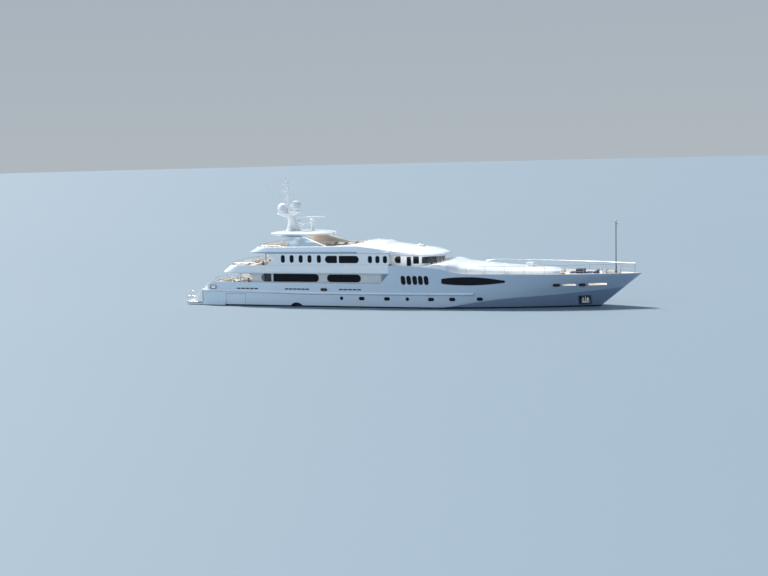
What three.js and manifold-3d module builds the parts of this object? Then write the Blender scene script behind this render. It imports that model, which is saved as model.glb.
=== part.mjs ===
// Motor yacht, 54.5 m long, built as a half-size model.
// Every length below is a metre on the real yacht; the last lines scale the whole to millimetres.
// +X runs to the bow, +Y to port, +Z up. The origin is on the centreline, at the waterline,
// halfway between the bow's tip and the swim platform's aft edge.
import * as THREE from 'three';
import { mergeVertices } from 'three/addons/utils/BufferGeometryUtils.js';
import Module from 'manifold-3d';

const wasm = await Module();
wasm.setup();

// Scale
const MODEL_SCALE = 0.5;
const MM_PER_METRE = 1000 * MODEL_SCALE;
// What lies face to face keeps this gap, 0.4 mm on the model.
const GAP = 0.0008;
// What slides or swings past a neighbour keeps this clearance, 6 mm on the model.
const CLEAR = 0.012;

// Hull
const BOW_X = 27.25;
const BOW_Z = 3.81;
const STEM_WATERLINE_X = 22.66;
const TRANSOM_X = -24.7;
const ENTRANCE_X = 2;
const HALF_BEAM = 4.8;
const CHINE_HALF_BEAM = 4.75;
const WATERLINE_HALF_BEAM = 4.62;
const STERN_NARROWING = 0.35;
const CANOE_DEPTH = 2.2;
const STERN_RISE = 1.45;
const RUN_START_X = -6;
const KEEL_HALF = 0.12;
const STEM_HALF = 0.04;
const HULL_WALL = 0.18;

// Deck levels, each the walking surface
const MAIN_DECK_Z = 1.85;
const BRIDGE_DECK_Z = 4.2;
const SUN_DECK_Z = 6.55;
const FOREDECK_AFT = { x: 8.1, z: 3.72 };
const FOREDECK_BOW = { x: 26.7, z: 3.58 };
const MAIN_BULWARK_Z = 2.86;
const BRIDGE_SLAB_Z = 3.9;
const SUN_SLAB_Z = 6.3;
const PLATFORM_Z = 0.4;
const BRIDGE_FRONT_X = -1;
const SUN_FRONT_X = -4.78;

// The side of the hull at the sheer: columns are x and the height of the topsides' upper edge.
const SHEER = [
  [TRANSOM_X, 5], [-21.5, 5], [-18, 5], [-14, 5], [-10, 5], [-6, 5], [-2, 5], [-1, 4.95], [1, 4.9],
  [2.7, 4.84], [4, 4.66], [5.14, 4.47], [6.75, 4.18], [8.12, 4.02], [10.3, 4], [12.5, 3.99],
  [14.7, 3.96], [17, 3.92], [19, 3.9], [20.8, 3.88], [22.4, 3.86], [23.9, 3.85], [25.2, 3.83],
  [26.3, 3.82], [BOW_X, BOW_Z],
];

// The chine that rises from the waterline to the stem: columns are the fraction of the way
// from ENTRANCE_X to the stem, and the height.
const CHINE = [[0, 0.06], [0.128, 0.12], [0.45, 1.1], [0.725, 1.57], [0.848, 1.84], [1, 2.22]];

// Windows: columns are x from, x to, z from, z to.
const SALOON_WINDOWS = [
  [-17.23, -16.01, 2.88, 3.78], [-15.7, -9.95, 2.88, 3.78], [-8.87, -4.72, 2.88, 3.74],
];
const UPPER_WINDOWS = [[-8.68, -7.25, 5.23, 6.04], [-6.97, -4.57, 5.23, 6.04]];

// Materials
const paint = { color: 0xf2f3f5, roughness: 0.25, metalness: 0.05 };
const glass = { color: 0x11151c, roughness: 0.08, metalness: 0.1 };
const steel = { color: 0xc9ccd0, roughness: 0.2, metalness: 0.9 };
const bronze = { color: 0xa8793c, roughness: 0.35, metalness: 0.9 };
const darkPaint = { color: 0x2b2f36, roughness: 0.5, metalness: 0.2 };
const teak = { color: 0x9a6b3f, roughness: 0.7, metalness: 0 };
const creamCushion = { color: 0xe9e2d2, roughness: 0.9, metalness: 0 };
const navyCushion = { color: 0x1b2350, roughness: 0.9, metalness: 0 };

// Mesh tools

function toSolid(geometry) {
  const bare = geometry.clone();
  for (const name of Object.keys(bare.attributes)) {
    if (name !== 'position') bare.deleteAttribute(name);
  }
  const merged = mergeVertices(bare, 1e-5);
  const mesh = new wasm.Mesh({
    numProp: 3,
    vertProperties: new Float32Array(merged.attributes.position.array),
    triVerts: new Uint32Array(merged.index.array),
  });
  return new wasm.Manifold(mesh);
}

function toGeometry(solid) {
  const mesh = solid.getMesh();
  const geometry = new THREE.BufferGeometry();
  geometry.setAttribute('position', new THREE.BufferAttribute(new Float32Array(mesh.vertProperties), 3));
  geometry.setIndex(new THREE.BufferAttribute(new Uint32Array(mesh.triVerts), 1));
  return geometry;
}

function join(...geometries) {
  return toGeometry(geometries.map(toSolid).reduce((sum, next) => sum.add(next)));
}

function cut(geometry, ...tools) {
  return toGeometry(tools.map(toSolid).reduce((rest, tool) => rest.subtract(tool), toSolid(geometry)));
}

function common(...geometries) {
  return toGeometry(geometries.map(toSolid).reduce((sum, next) => sum.intersect(next)));
}

// Turns the faces out where the enclosed volume comes out negative.
function facingOut(vertices, faces) {
  const volume = faces.reduce((sum, [a, b, c]) => {
    const [p, q, r] = [vertices[a], vertices[b], vertices[c]];
    return sum + p.dot(new THREE.Vector3().crossVectors(q, r));
  }, 0);
  const geometry = new THREE.BufferGeometry().setFromPoints(vertices);
  geometry.setIndex(faces.flatMap(([a, b, c]) => (volume > 0 ? [a, b, c] : [a, c, b])));
  return geometry;
}

// Triangles that close a ring seen along an axis.
function flatCap(ring, axis) {
  const [across, up] = { x: [1, 2], y: [0, 2], z: [0, 1] }[axis];
  const outline = ring.map((p) => new THREE.Vector2(p[across], p[up]));
  const turned = THREE.ShapeUtils.isClockWise(outline);
  const order = outline.map((_, i) => (turned ? outline.length - 1 - i : i));
  const triangles = THREE.ShapeUtils.triangulateShape(order.map((i) => outline[i]), []);
  return triangles.map((t) => {
    const [a, b, c] = t.map((i) => order[i]);
    return turned ? [a, c, b] : [a, b, c];
  });
}

// Triangles that close a ring whose first and last points, and so on inwards, are mirror pairs.
function pairedCap(ring) {
  const last = ring.length - 1;
  return Array.from({ length: ring.length / 2 - 1 }, (_, i) => [
    [i, i + 1, last - i - 1], [i, last - i - 1, last - i],
  ]).flat();
}

// A closed skin through rings of [x, y, z] points, whose ends capOf closes.
function loft(rings, capOf) {
  const count = rings[0].length;
  const vertices = rings.flat().map((p) => new THREE.Vector3(...p));
  const faces = [];
  for (let ring = 0; ring < rings.length - 1; ring++) {
    for (let i = 0; i < count; i++) {
      const [a, b] = [ring * count + i, ring * count + (i + 1) % count];
      faces.push([a, b, b + count], [a, b + count, a + count]);
    }
  }
  const close = typeof capOf === 'string' ? (ring) => flatCap(ring, capOf) : capOf;
  const last = (rings.length - 1) * count;
  for (const [a, b, c] of close(rings[0])) faces.push([a, c, b]);
  for (const [a, b, c] of close(rings[rings.length - 1])) faces.push([a + last, b + last, c + last]);
  return facingOut(vertices, faces);
}

// A polygon of [x, z] points, drawn out across the yacht from y0 to y1.
function sidePrism(points, y0, y1) {
  return loft([y0, y1].map((y) => points.map(([x, z]) => [x, y, z])), 'y');
}

// A polygon of [x, y] points, drawn up from z0 to z1.
function planPrism(points, z0, z1) {
  return loft([z0, z1].map((z) => points.map(([x, y]) => [x, y, z])), 'z');
}

function box(x0, x1, y0, y1, z0, z1) {
  return planPrism([[x0, y0], [x1, y0], [x1, y1], [x0, y1]], z0, z1);
}

function rod(from, to, radius, sides = 8) {
  const [a, b] = [new THREE.Vector3(...from), new THREE.Vector3(...to)];
  const along = b.clone().sub(a);
  const upright = new THREE.Vector3(0, 1, 0);
  return new THREE.CylinderGeometry(radius, radius, along.length(), sides)
    .applyQuaternion(new THREE.Quaternion().setFromUnitVectors(upright, along.clone().normalize()))
    .translate(...a.add(b).multiplyScalar(0.5).toArray());
}

function tube(points, radius, steps, sides = 6) {
  const stations = points.map((p) => new THREE.Vector3(...p));
  const route = new THREE.CatmullRomCurve3(stations, false, 'centripetal');
  const ring = Array.from({ length: sides }, (_, i) => {
    const turn = (2 * Math.PI * i) / sides;
    return new THREE.Vector2(radius * Math.cos(turn), radius * Math.sin(turn));
  });
  return new THREE.ExtrudeGeometry(new THREE.Shape(ring),
    { steps, extrudePath: route, bevelEnabled: false });
}

// Swaps port and starboard.
function mirrored(geometry) {
  const copy = geometry.clone().scale(1, -1, 1);
  const merged = copy.index ? copy : mergeVertices(copy);
  const index = Array.from(merged.index.array);
  for (let i = 0; i < index.length; i += 3) [index[i + 1], index[i + 2]] = [index[i + 2], index[i + 1]];
  merged.setIndex(index);
  return merged;
}

// A window outline with round ends: a box with its corners cut by arcs.
function roundedOutline([x0, x1, z0, z1], radius, steps = 4) {
  const corners = [[x1 - radius, z1 - radius, 0], [x0 + radius, z1 - radius, 90],
    [x0 + radius, z0 + radius, 180], [x1 - radius, z0 + radius, 270]];
  return corners.flatMap(([cx, cz, start]) => Array.from({ length: steps + 1 }, (_, i) => {
    const turn = THREE.MathUtils.degToRad(start + (90 * i) / steps);
    return [cx + radius * Math.cos(turn), cz + radius * Math.sin(turn)];
  }));
}

function between(table, x) {
  const next = table.findIndex(([at]) => at >= x);
  if (next <= 0) return table[next === 0 ? 0 : table.length - 1][1];
  const [[x0, z0], [x1, z1]] = [table[next - 1], table[next]];
  return z0 + ((z1 - z0) * (x - x0)) / (x1 - x0);
}

// Hull form

function stemX(z) {
  if (z >= 0) return STEM_WATERLINE_X + ((BOW_X - STEM_WATERLINE_X) * Math.min(z, BOW_Z)) / BOW_Z;
  const depth = -z / CANOE_DEPTH;
  return STEM_WATERLINE_X - 2.65 * depth - 3.5 * depth ** 2.5;
}

// Half-breadths and heights of one section, named by its x at the sheer.
function section(x) {
  const fore = Math.max(0, (x - ENTRANCE_X) / (BOW_X - ENTRANCE_X));
  const aft = Math.max(0, (ENTRANCE_X - x) / (ENTRANCE_X - TRANSOM_X)) ** 2.5 * STERN_NARROWING;
  const run = Math.max(0, (RUN_START_X - x) / (RUN_START_X - TRANSOM_X));
  return {
    sheer: [HALF_BEAM * (1 - fore ** 2.6) - aft, between(SHEER, x)],
    chine: [CHINE_HALF_BEAM * (1 - fore ** 2) - aft, between(CHINE, fore)],
    waterline: WATERLINE_HALF_BEAM * (1 - fore ** 1.7) - aft,
    keel: -CANOE_DEPTH + STERN_RISE * run ** 2,
    fullness: 2 / (2.6 - 1.35 * fore),
    fore,
  };
}

// One side's points from the keel up, as [x, y, z], drawn in by inset and carried up by rise.
function sidePoints(x, inset, rise) {
  const form = section(x);
  const below = [90, 70, 52, 34, 16, 0].map((angle) => {
    const turn = THREE.MathUtils.degToRad(angle);
    const out = Math.max(0, Math.cos(turn)) ** form.fullness;
    return [KEEL_HALF + (form.waterline - KEEL_HALF) * out, form.keel * Math.sin(turn) ** form.fullness];
  });
  const [[chineY, chineZ], [sheerY, sheerZ]] = [form.chine, form.sheer];
  const above = [0, 1 / 3, 2 / 3, 1].map((s) => (
    [chineY + (sheerY - chineY) * s ** 1.3, chineZ + (sheerZ - chineZ) * s]));
  const lifted = rise ? [[sheerY, sheerZ + rise]] : [];
  return [...below, ...above, ...lifted].map(([y, z]) => {
    const reach = (stemX(z) - ENTRANCE_X) / (BOW_X - ENTRANCE_X);
    const placed = x > ENTRANCE_X ? ENTRANCE_X + (x - ENTRANCE_X) * reach : x;
    return [placed, Math.max(STEM_HALF, y - inset), z];
  });
}

function hullForm(inset = 0, rise = 0) {
  return loft(SHEER.map(([x]) => {
    const port = sidePoints(x, inset, rise);
    const starboard = port.map(([px, y, z]) => [px, -y, z]);
    return [...starboard.reverse(), ...port];
  }), pairedCap);
}

// Half-breadth of the hull's side at a given x and height, above the chine.
function breadthAt(x, z) {
  const reach = (stemX(z) - ENTRANCE_X) / (BOW_X - ENTRANCE_X);
  const form = section(x > ENTRANCE_X ? ENTRANCE_X + (x - ENTRANCE_X) / reach : x);
  const [[chineY, chineZ], [sheerY, sheerZ]] = [form.chine, form.sheer];
  const s = THREE.MathUtils.clamp((z - chineZ) / (sheerZ - chineZ), 0, 1);
  return chineY + (sheerY - chineY) * s ** 1.3;
}

// The bridge deck and foredeck seen from the side, with all the air above them.
const upperDeckLine = (lift) => [
  [-1.5, BRIDGE_DECK_Z + lift], [5.9, BRIDGE_DECK_Z + lift],
  [FOREDECK_AFT.x, FOREDECK_AFT.z + lift], [FOREDECK_BOW.x, FOREDECK_BOW.z + lift],
  [FOREDECK_BOW.x, 9], [-1.5, 9],
];

// Bow openings: fairleads are short and dark, slots are long and look through.
// Columns are x from, x to, z from, z to.
const BOW_FAIRLEADS = [[17.68, 18.48, 2.46, 2.82], [20.54, 21.28, 2.5, 2.84]];
const BOW_SLOTS = [[18.7, 20.26, 2.55, 2.83], [21.56, 23.72, 2.62, 2.9]];
const MOORING_DECK = { x: [17.3, 24.1], z: [2.35, 3.3], wall: 0.16 };
const ANCHOR_POCKET = { x: [20.41, 21.68], z: [0.32, 1.29], floor: 0.66 };
const GARAGE = { x: [-24.2, -18.9], half: 4.3, z: [0.12, 1.62] };
const ENGINE_ROOM = { x: [-17.6, -9.8], half: 2.9, z: [-1, 1.5], passageHalf: 0.5 };
const ENGINE = { x: [-14.9, -11.5], y: [0.85, 2.45], top: 0.95 };
const TRANSOM_DOOR = { half: 2.4, z: [0.5, 1.56], thick: 0.1 };
const SHELL_DOOR = { x: [-21.55, -19.08], z: [0.15, 1.45], thick: 0.1 };
const STAIR = { y: [2.75, 4], steps: 6, tread: 0.22 };
const MAIN_BULKHEAD = { x: -1.9, half: 4.6 };
const THRUSTER = { x: 16.6, z: -1.15, radius: 0.42 };

// Running gear
const SHAFT = { y: 1.9, propX: -20.3, propZ: -2.2, rise: 0.05, radius: 0.09, tubeX: -14.9 };
const PROP = { radius: 0.8, hub: 0.19, blades: 5 };
const RUDDER = { x: -21.9, y: 1.9, top: -1.42, foot: -2.85, chord: 1.3, thick: 0.2 };
const RUDDER_BOSS_Z = -1.22;
const FIN = { x: 1.5, y: 4.15, z: -1.29, out: 0.6, down: 0.8, span: 0.95, chord: 1.6 };

function rubRail() {
  // Columns are x and the rail's upper edge.
  const stations = [
    [TRANSOM_X, 1.99], [-20, 1.92], [-15, 1.84], [-9.4, 1.77], [-4, 1.78], [2, 1.8], [8.89, 1.83],
  ];
  const side = loft(stations.map(([x, top]) => {
    const skin = breadthAt(x, top);
    return [[x, skin - 0.1, top], [x, skin + 0.05, top], [x, skin + 0.14, top - 0.1],
      [x, skin + 0.14, top - 0.2], [x, skin + 0.03, top - 0.3], [x, skin - 0.1, top - 0.3]];
  }), 'x');
  return join(side, mirrored(side));
}

// The band at platform level that widens the hull's aft end.
function sternSkirt() {
  return common(hullForm(-0.07), box(TRANSOM_X, -21.7, -6, 6, -0.45, 0.5));
}

function keelSkeg() {
  return sidePrism([[-17, -1.4], [-16.2, -2.9], [-8, -2.9], [-5, -1.9]], -0.14, 0.14);
}

function shaftPoint(x) {
  return SHAFT.propZ + (x - SHAFT.propX) * SHAFT.rise;
}

function sternTube(side) {
  const inner = SHAFT.tubeX + 3;
  return rod([SHAFT.tubeX, side * SHAFT.y, shaftPoint(SHAFT.tubeX)],
    [inner, side * SHAFT.y, shaftPoint(inner)], 0.17, 10);
}

function finBoss(side) {
  const at = (d) => [FIN.x, side * (FIN.y + FIN.out * d), FIN.z - FIN.down * d];
  return rod(at(-0.5), at(0.06), 0.32, 12);
}

// The air over the bulwarks. Its slanted forward end is only as deep as the bulkhead behind it.
function airOverBulwarks() {
  const air = sidePrism([
    [-26, 2], [TRANSOM_X, 2], [-24.6, 2.2], [-24.32, 2.5], [-23.95, 2.74], [-23.5, MAIN_BULWARK_Z], [-2, 2.8],
    [-1.04, BRIDGE_SLAB_Z - GAP], [BRIDGE_FRONT_X, BRIDGE_SLAB_Z - GAP], [BRIDGE_FRONT_X, 9], [-26, 9],
  ], -6, 6);
  const { x, half } = MAIN_BULKHEAD;
  return cut(air, box(x, 0, -half, half, 0, BRIDGE_SLAB_Z - GAP));
}

function hull() {
  const mainWell = common(hullForm(HULL_WALL, 1), box(-23.9, MAIN_BULKHEAD.x, -6, 6, MAIN_DECK_Z, 8));
  const foreWell = common(hullForm(0.15, 2), sidePrism(upperDeckLine(0), -6, 6));
  const mooring = common(hullForm(MOORING_DECK.wall), box(...MOORING_DECK.x, -4, 4, ...MOORING_DECK.z));
  const openings = [
    ...BOW_SLOTS.map((slot) => sidePrism(roundedOutline(slot, 0.05, 1), -5, 5)),
    ...BOW_FAIRLEADS.map((lead) => sidePrism(roundedOutline(lead, 0.16, 3), -5, 5)),
    box(...GARAGE.x, -GARAGE.half, GARAGE.half, ...GARAGE.z),
    box(...ENGINE_ROOM.x, -ENGINE_ROOM.half, ENGINE_ROOM.half, ...ENGINE_ROOM.z),
    box(GARAGE.x[1] - 0.1, ENGINE_ROOM.x[0] + 0.1, -ENGINE_ROOM.passageHalf, ENGINE_ROOM.passageHalf,
      0.2, ENGINE_ROOM.z[1]),
    box(TRANSOM_X - 1, -23.8, -TRANSOM_DOOR.half, TRANSOM_DOOR.half, ...TRANSOM_DOOR.z),
    rod([THRUSTER.x, -4, THRUSTER.z], [THRUSTER.x, 4, THRUSTER.z], THRUSTER.radius, 14),
  ];
  for (const side of [-1, 1]) {
    const span = (a, b) => (side < 0 ? [-b, -a] : [a, b]);
    openings.push(
      box(TRANSOM_X - 1, -23.8, ...span(...STAIR.y), MAIN_DECK_Z, 5),
      box(...SHELL_DOOR.x, ...span(4, 6), ...SHELL_DOOR.z),
      box(...ANCHOR_POCKET.x, ...span(ANCHOR_POCKET.floor, 3), ...ANCHOR_POCKET.z),
    );
  }
  const bosses = [-1, 1].flatMap((side) => [
    sternTube(side), finBoss(side),
    rod([RUDDER.x, side * RUDDER.y, -0.4], [RUDDER.x, side * RUDDER.y, RUDDER_BOSS_Z], 0.22, 12),
  ]);
  const body = join(cut(hullForm(), airOverBulwarks()), rubRail(), sternSkirt(), keelSkeg(), ...bosses);
  return cut(body, mainWell, foreWell, mooring, ...openings);
}

function engine(side) {
  const [y0, y1] = ENGINE.y.map((y) => y * side);
  return box(...ENGINE.x, Math.min(y0, y1), Math.max(y0, y1), ENGINE_ROOM.z[0] + GAP, ENGINE.top);
}

// Swim platform with its two flights of steps to the main deck
function swimPlatform() {
  const front = TRANSOM_X - GAP;
  const deck = planPrism([
    [front, -4.2], [front, 4.2], [-26.6, 4.15], [-26.95, 4.05], [-27.17, 3.85], [-27.27, 3.5], [-27.3, 2.8],
    [-27.3, -2.8], [-27.27, -3.5], [-27.17, -3.85], [-26.95, -4.05], [-26.6, -4.15],
  ], -0.05, PLATFORM_Z);
  const rise = (MAIN_DECK_Z - PLATFORM_Z) / STAIR.steps;
  const profile = [[front, 0.2]];
  for (let step = 0; step < STAIR.steps; step++) {
    const z = MAIN_DECK_Z - rise * step;
    profile.push([front - STAIR.tread * step, z], [front - STAIR.tread * (step + 1), z]);
  }
  profile.push([front - STAIR.tread * STAIR.steps, 0.2]);
  const coaming = [[front, 0.2], [front, 2], [front - 0.15, 1.99], [-25.66, 0.98], [-25.78, 0.2]];
  const flight = join(
    sidePrism(profile, STAIR.y[0] - 0.05, STAIR.y[1] + 0.05),
    sidePrism(coaming, STAIR.y[1], STAIR.y[1] + 0.14),
    sidePrism(coaming, STAIR.y[0] - 0.12, STAIR.y[0]),
  );
  return join(deck, flight, mirrored(flight));
}

// Decks

// Power of the decks' superelliptic sterns; a smaller one is squarer.
const STERN_SQUARENESS = 2 / 4.4;

// A deck's outline with a rounded stern, as [x, y] from the starboard front to the port front.
function sternOutline(front, aft, half, curve = 2.6) {
  const steps = 8;
  const arc = Array.from({ length: 2 * steps + 1 }, (_, i) => {
    const turn = (Math.PI / 2) * (i / steps - 1);
    const back = Math.cos(turn) ** STERN_SQUARENESS;
    const out = Math.sign(turn) * Math.abs(Math.sin(turn)) ** STERN_SQUARENESS;
    return [aft + curve * (1 - back), half * out];
  });
  return [[front, -half], ...arc, [front, half]];
}

function bridgeBandTop(x) {
  return 4.89 + (0.17 * (x + 19.6)) / 18.6;
}

function sunBandTop(x) {
  return 6.93 + (0.1 * (x + 17.3)) / 12.5;
}

const lifted = (outline, height) => outline.map(([x, y]) => [x, y, height(x)]);

function pillar(x, y, z0, z1) {
  return rod([x, y, z0 + GAP], [x, y, z1], 0.07, 8);
}

function bridgeDeck() {
  const front = BRIDGE_FRONT_X - GAP;
  const outer = loft([
    lifted(sternOutline(front, -22.1, 4.55), () => BRIDGE_SLAB_Z),
    lifted(sternOutline(front, -22.4, 4.75), () => 4.07),
    lifted(sternOutline(front, -21.36, 4.72), bridgeBandTop),
  ], 'z');
  const inner = loft([
    lifted(sternOutline(0, -21.2, 4.56), () => BRIDGE_DECK_Z),
    lifted(sternOutline(0, -21.1, 4.56), () => 6),
  ], 'z');
  return join(cut(outer, inner),
    pillar(-19.76, 4.25, MAIN_DECK_Z, 4), pillar(-19.76, -4.25, MAIN_DECK_Z, 4));
}

function sunDeck() {
  const outer = loft([
    lifted(sternOutline(SUN_FRONT_X - GAP, -18.6, 4.62), () => SUN_SLAB_Z),
    lifted(sternOutline(SUN_FRONT_X - GAP, -18.78, 4.83), () => SUN_SLAB_Z + 0.12),
    lifted(sternOutline(SUN_FRONT_X - GAP, -17.95, 4.55), sunBandTop),
  ], 'z');
  const inner = planPrism(sternOutline(-5, -17.7, 4.2), SUN_DECK_Z, 9);
  return join(cut(outer, inner),
    pillar(-16.42, 4.2, BRIDGE_DECK_Z, 6.4), pillar(-16.42, -4.2, BRIDGE_DECK_Z, 6.4));
}

// Deckhouses

const SALOON = {
  x: [-18.4, MAIN_BULKHEAD.x], half: 3.7, wall: 0.12, corner: 0.35, door: { half: 0.55, top: 3.75 },
};
const LOUNGE = { x: [-14.6, -0.89], half: 4.75, wall: 0.17, door: { half: 0.55, top: 6.05 } };

function mainDeckhouse() {
  const front = SALOON.x[1] - GAP;
  const [low, high] = [MAIN_DECK_Z + GAP, BRIDGE_SLAB_Z - GAP];
  const shell = planPrism(sternOutline(front, SALOON.x[0], SALOON.half, SALOON.corner), low, high);
  const wingProfile = [
    [-17.9, low], [-18.9, low], [-18.58, 2.8], [-18.5, 3.25], [-18.7, 3.62], [-19.15, high], [-17.9, high],
  ];
  const wing = sidePrism(wingProfile, SALOON.half - SALOON.wall, SALOON.half);
  const inside = planPrism(sternOutline(front - SALOON.wall, SALOON.x[0] + SALOON.wall,
    SALOON.half - SALOON.wall, SALOON.corner), 0, 8);
  const windows = SALOON_WINDOWS.map((w) => sidePrism(roundedOutline(w, 0.4), -5, 5));
  const door = box(-19, -18, -SALOON.door.half, SALOON.door.half, MAIN_DECK_Z + 0.06, SALOON.door.top);
  const lights = [-1, 1].map((side) => box(-19, -18, Math.min(side * 0.8, side * 2.7),
    Math.max(side * 0.8, side * 2.7), 2.1, SALOON.door.top));
  return cut(join(shell, wing, mirrored(wing)), inside, ...windows, door, ...lights);
}

// The pane behind each side's windows, one long sheet on the wall's inner face
function sideGlazing(windows, wallInside, side) {
  const margin = 0.08;
  const [x0, x1] = [windows[0][0] - margin, windows[windows.length - 1][1] + margin];
  const [z0, z1] = [windows[0][2] - margin, windows[0][3] + margin];
  const [inner, outer] = [wallInside - GAP - 0.03, wallInside - GAP];
  return box(x0, x1, ...(side < 0 ? [-outer, -inner] : [inner, outer]), z0, z1);
}

function upperDeckhouse() {
  const top = SUN_SLAB_Z - GAP;
  const bandTop = (x) => bridgeBandTop(x) + GAP;
  const front = LOUNGE.x[1];
  const wallProfile = [
    [-16.17, bandTop(-16.17)], [-15.2, 5.7], [-16.2, top], [front, top], [front, bandTop(front)],
  ];
  const wall = sidePrism(wallProfile, LOUNGE.half - LOUNGE.wall, LOUNGE.half);
  const wing = box(front - 0.15, front, 3.92, LOUNGE.half - 0.05, bandTop(front), top);
  const roof = box(-14.45, front, -LOUNGE.half + 0.05, LOUNGE.half - 0.05, top - 0.1, top);
  const windows = UPPER_WINDOWS.map((w) => sidePrism(roundedOutline(w, 0.3), -6, 6));
  return cut(join(wall, mirrored(wall), wing, mirrored(wing), roof), ...windows);
}

function loungeBulkhead() {
  const half = 4.56 - GAP;
  const sheet = box(LOUNGE.x[0], LOUNGE.x[0] + 0.1, -half, half, BRIDGE_DECK_Z + GAP, SUN_SLAB_Z - GAP);
  const door = box(-16, -14, -LOUNGE.door.half, LOUNGE.door.half, BRIDGE_DECK_Z + 0.06, LOUNGE.door.top);
  const light = box(-16, -14, 0.9, 3.6, 4.9, LOUNGE.door.top);
  return cut(sheet, door, light, mirrored(light));
}

// Wheelhouse

const WHEELHOUSE = { aft: -0.88, straight: 2.6, tip: 4.2, half: 3.88, wall: 0.1 };
const SIDE_WINDOWS = [[-0.44, 0.24, 5.17, 5.92], [1.78, 2.43, 5.12, 5.92]];
const SIDE_DOOR = { x: [0.9, 1.62], top: 6 };

// The outline from aft starboard, round the front, to aft port, drawn in by inset.
function wheelhouseOutline(inset, aft = WHEELHOUSE.aft) {
  const steps = 7;
  const { straight, tip, half } = WHEELHOUSE;
  const arc = Array.from({ length: 2 * steps + 1 }, (_, i) => {
    const turn = (Math.PI / 2) * (i / steps - 1);
    const out = Math.sign(turn) * Math.abs(Math.sin(turn)) ** 0.8;
    return [straight + (tip - straight - inset) * Math.cos(turn) ** 0.8, (half - inset) * out];
  });
  return [[aft, inset - half], ...arc, [aft, half - inset]];
}

// The underside of the roof and its brow, seen from the side
const ROOF_UNDERSIDE = [[SUN_FRONT_X, SUN_SLAB_Z], [-0.89, SUN_SLAB_Z], [-0.86, 6.08], [2.6, 6.04],
  [4.2, 5.98], [5, 5.96]];

function underRoof(drop) {
  const line = ROOF_UNDERSIDE.map(([x, z]) => [x, z - drop]);
  return sidePrism([...line, [7, 5.6], [7, 0], [SUN_FRONT_X, 0]], -6, 6);
}

function wheelhouse() {
  const shell = planPrism(wheelhouseOutline(0), BRIDGE_DECK_Z + GAP, 7);
  const inside = planPrism(wheelhouseOutline(WHEELHOUSE.wall, -3), 0, 8);
  const windscreen = box(2.78, 6, -5, 5, 5.12, 5.88);
  const mullions = [0.75, 2.1, 3.1].flatMap((y) => [-y, y]).map((y) => box(2, 6, y - 0.05, y + 0.05, 5, 6));
  const lights = SIDE_WINDOWS.map((w) => sidePrism(roundedOutline(w, 0.1, 2), -6, 6));
  const doors = box(SIDE_DOOR.x[0] + 0.06, SIDE_DOOR.x[1] - 0.06, -6, 6, BRIDGE_DECK_Z + 0.06, 5.95);
  return common(cut(shell, inside, cut(windscreen, ...mullions), ...lights, doors), underRoof(GAP));
}

function windscreenGlass() {
  const outer = planPrism(wheelhouseOutline(WHEELHOUSE.wall + GAP), 5.05, 5.91);
  const inner = planPrism(wheelhouseOutline(WHEELHOUSE.wall + 0.03, -3), 0, 8);
  return common(cut(outer, inner), box(1.7, 7, -6, 6, 0, 8));
}

function helmConsole() {
  const profile = [[2.5, 0], [3.7, 0], [3.9, 0.85], [3.3, 1.12], [2.5, 0.8]];
  return sidePrism(profile.map(([x, z]) => [x, z + BRIDGE_DECK_Z + GAP]), -1.9, 1.9);
}

// The roof's sections: columns are x, half-breadth, height of the fascia's upper edge and crown.
const ROOF = [
  [SUN_FRONT_X, 4.83, 6.95, 7.22], [-2.5, 4.8, 6.78, 7.22], [-0.89, 4.7, 6.62, 7.15],
  [-0.86, 4.7, 6.62, 7.15], [0.54, 4.5, 6.43, 7], [1.6, 4.3, 6.31, 6.88], [2.6, 4.12, 6.22, 6.78],
  [3.4, 3.86, 6.16, 6.65], [3.9, 3.4, 6.12, 6.54], [4.3, 2.8, 6.1, 6.44], [4.65, 2.1, 6.08, 6.36],
  [4.88, 1.5, 6.07, 6.29], [5, 1, 6.06, 6.22],
];

// The raised middle of the roof, behind its crown: columns are x, half-breadth and crown.
const ROOF_HUMP = [[SUN_FRONT_X, 2, 7.52], [-4.4, 2.2, 7.58], [-2.3, 2.2, 7.55], [-1.2, 1.8, 7.14]];

function wheelhouseRoof() {
  const shell = loft(ROOF.map(([x, half, fascia, crown]) => {
    const under = between(ROOF_UNDERSIDE, x);
    const lip = Math.min(0.12, (fascia - under) / 2);
    const side = [[half - 0.2, under], [half, under + lip], [half - 0.14, fascia]];
    const dome = [0.85, 0.6, 0.3, 0].map((out) => (
      [out * (half - 0.14), crown - (crown - fascia) * out ** 2]));
    const port = [...side, ...dome];
    const starboard = port.slice(0, -1).reverse().map(([y, z]) => [-y, z]);
    return [...port, ...starboard].map(([y, z]) => [x, y, z]);
  }), 'x');
  const hump = loft(ROOF_HUMP.map(([x, half, crown]) => (
    [[1, 6.7], [1, 7], [0.92, crown - 0.14], [0.6, crown - 0.03], [0, crown], [-0.6, crown - 0.03],
      [-0.92, crown - 0.14], [-1, 7], [-1, 6.7]].map(([out, z]) => [x, out * half, z]))), 'x');
  return join(shell, hump);
}

// Foredeck trunk, which also is the breastwork in front of the wheelhouse.
// Columns are x, half-breadth at the deck, top and roundness: the power of the section's curve.
const TRUNK = [
  [2.6, 5.2, 4.78, 0.12], [3.2, 5.2, 4.95, 0.12], [3.8, 5.15, 5.1, 0.12], [4.6, 5.05, 5.22, 0.12],
  [5.7, 4.7, 5.36, 0.2], [6.4, 4.3, 5.3, 0.3], [7.2, 3.9, 5.12, 0.4], [9, 3.4, 4.96, 0.4],
  [12, 3, 4.7, 0.4], [15.8, 2.4, 4.47, 0.4], [17.6, 1.9, 4.36, 0.4], [18.3, 1.3, 4.2, 0.4],
];

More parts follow.
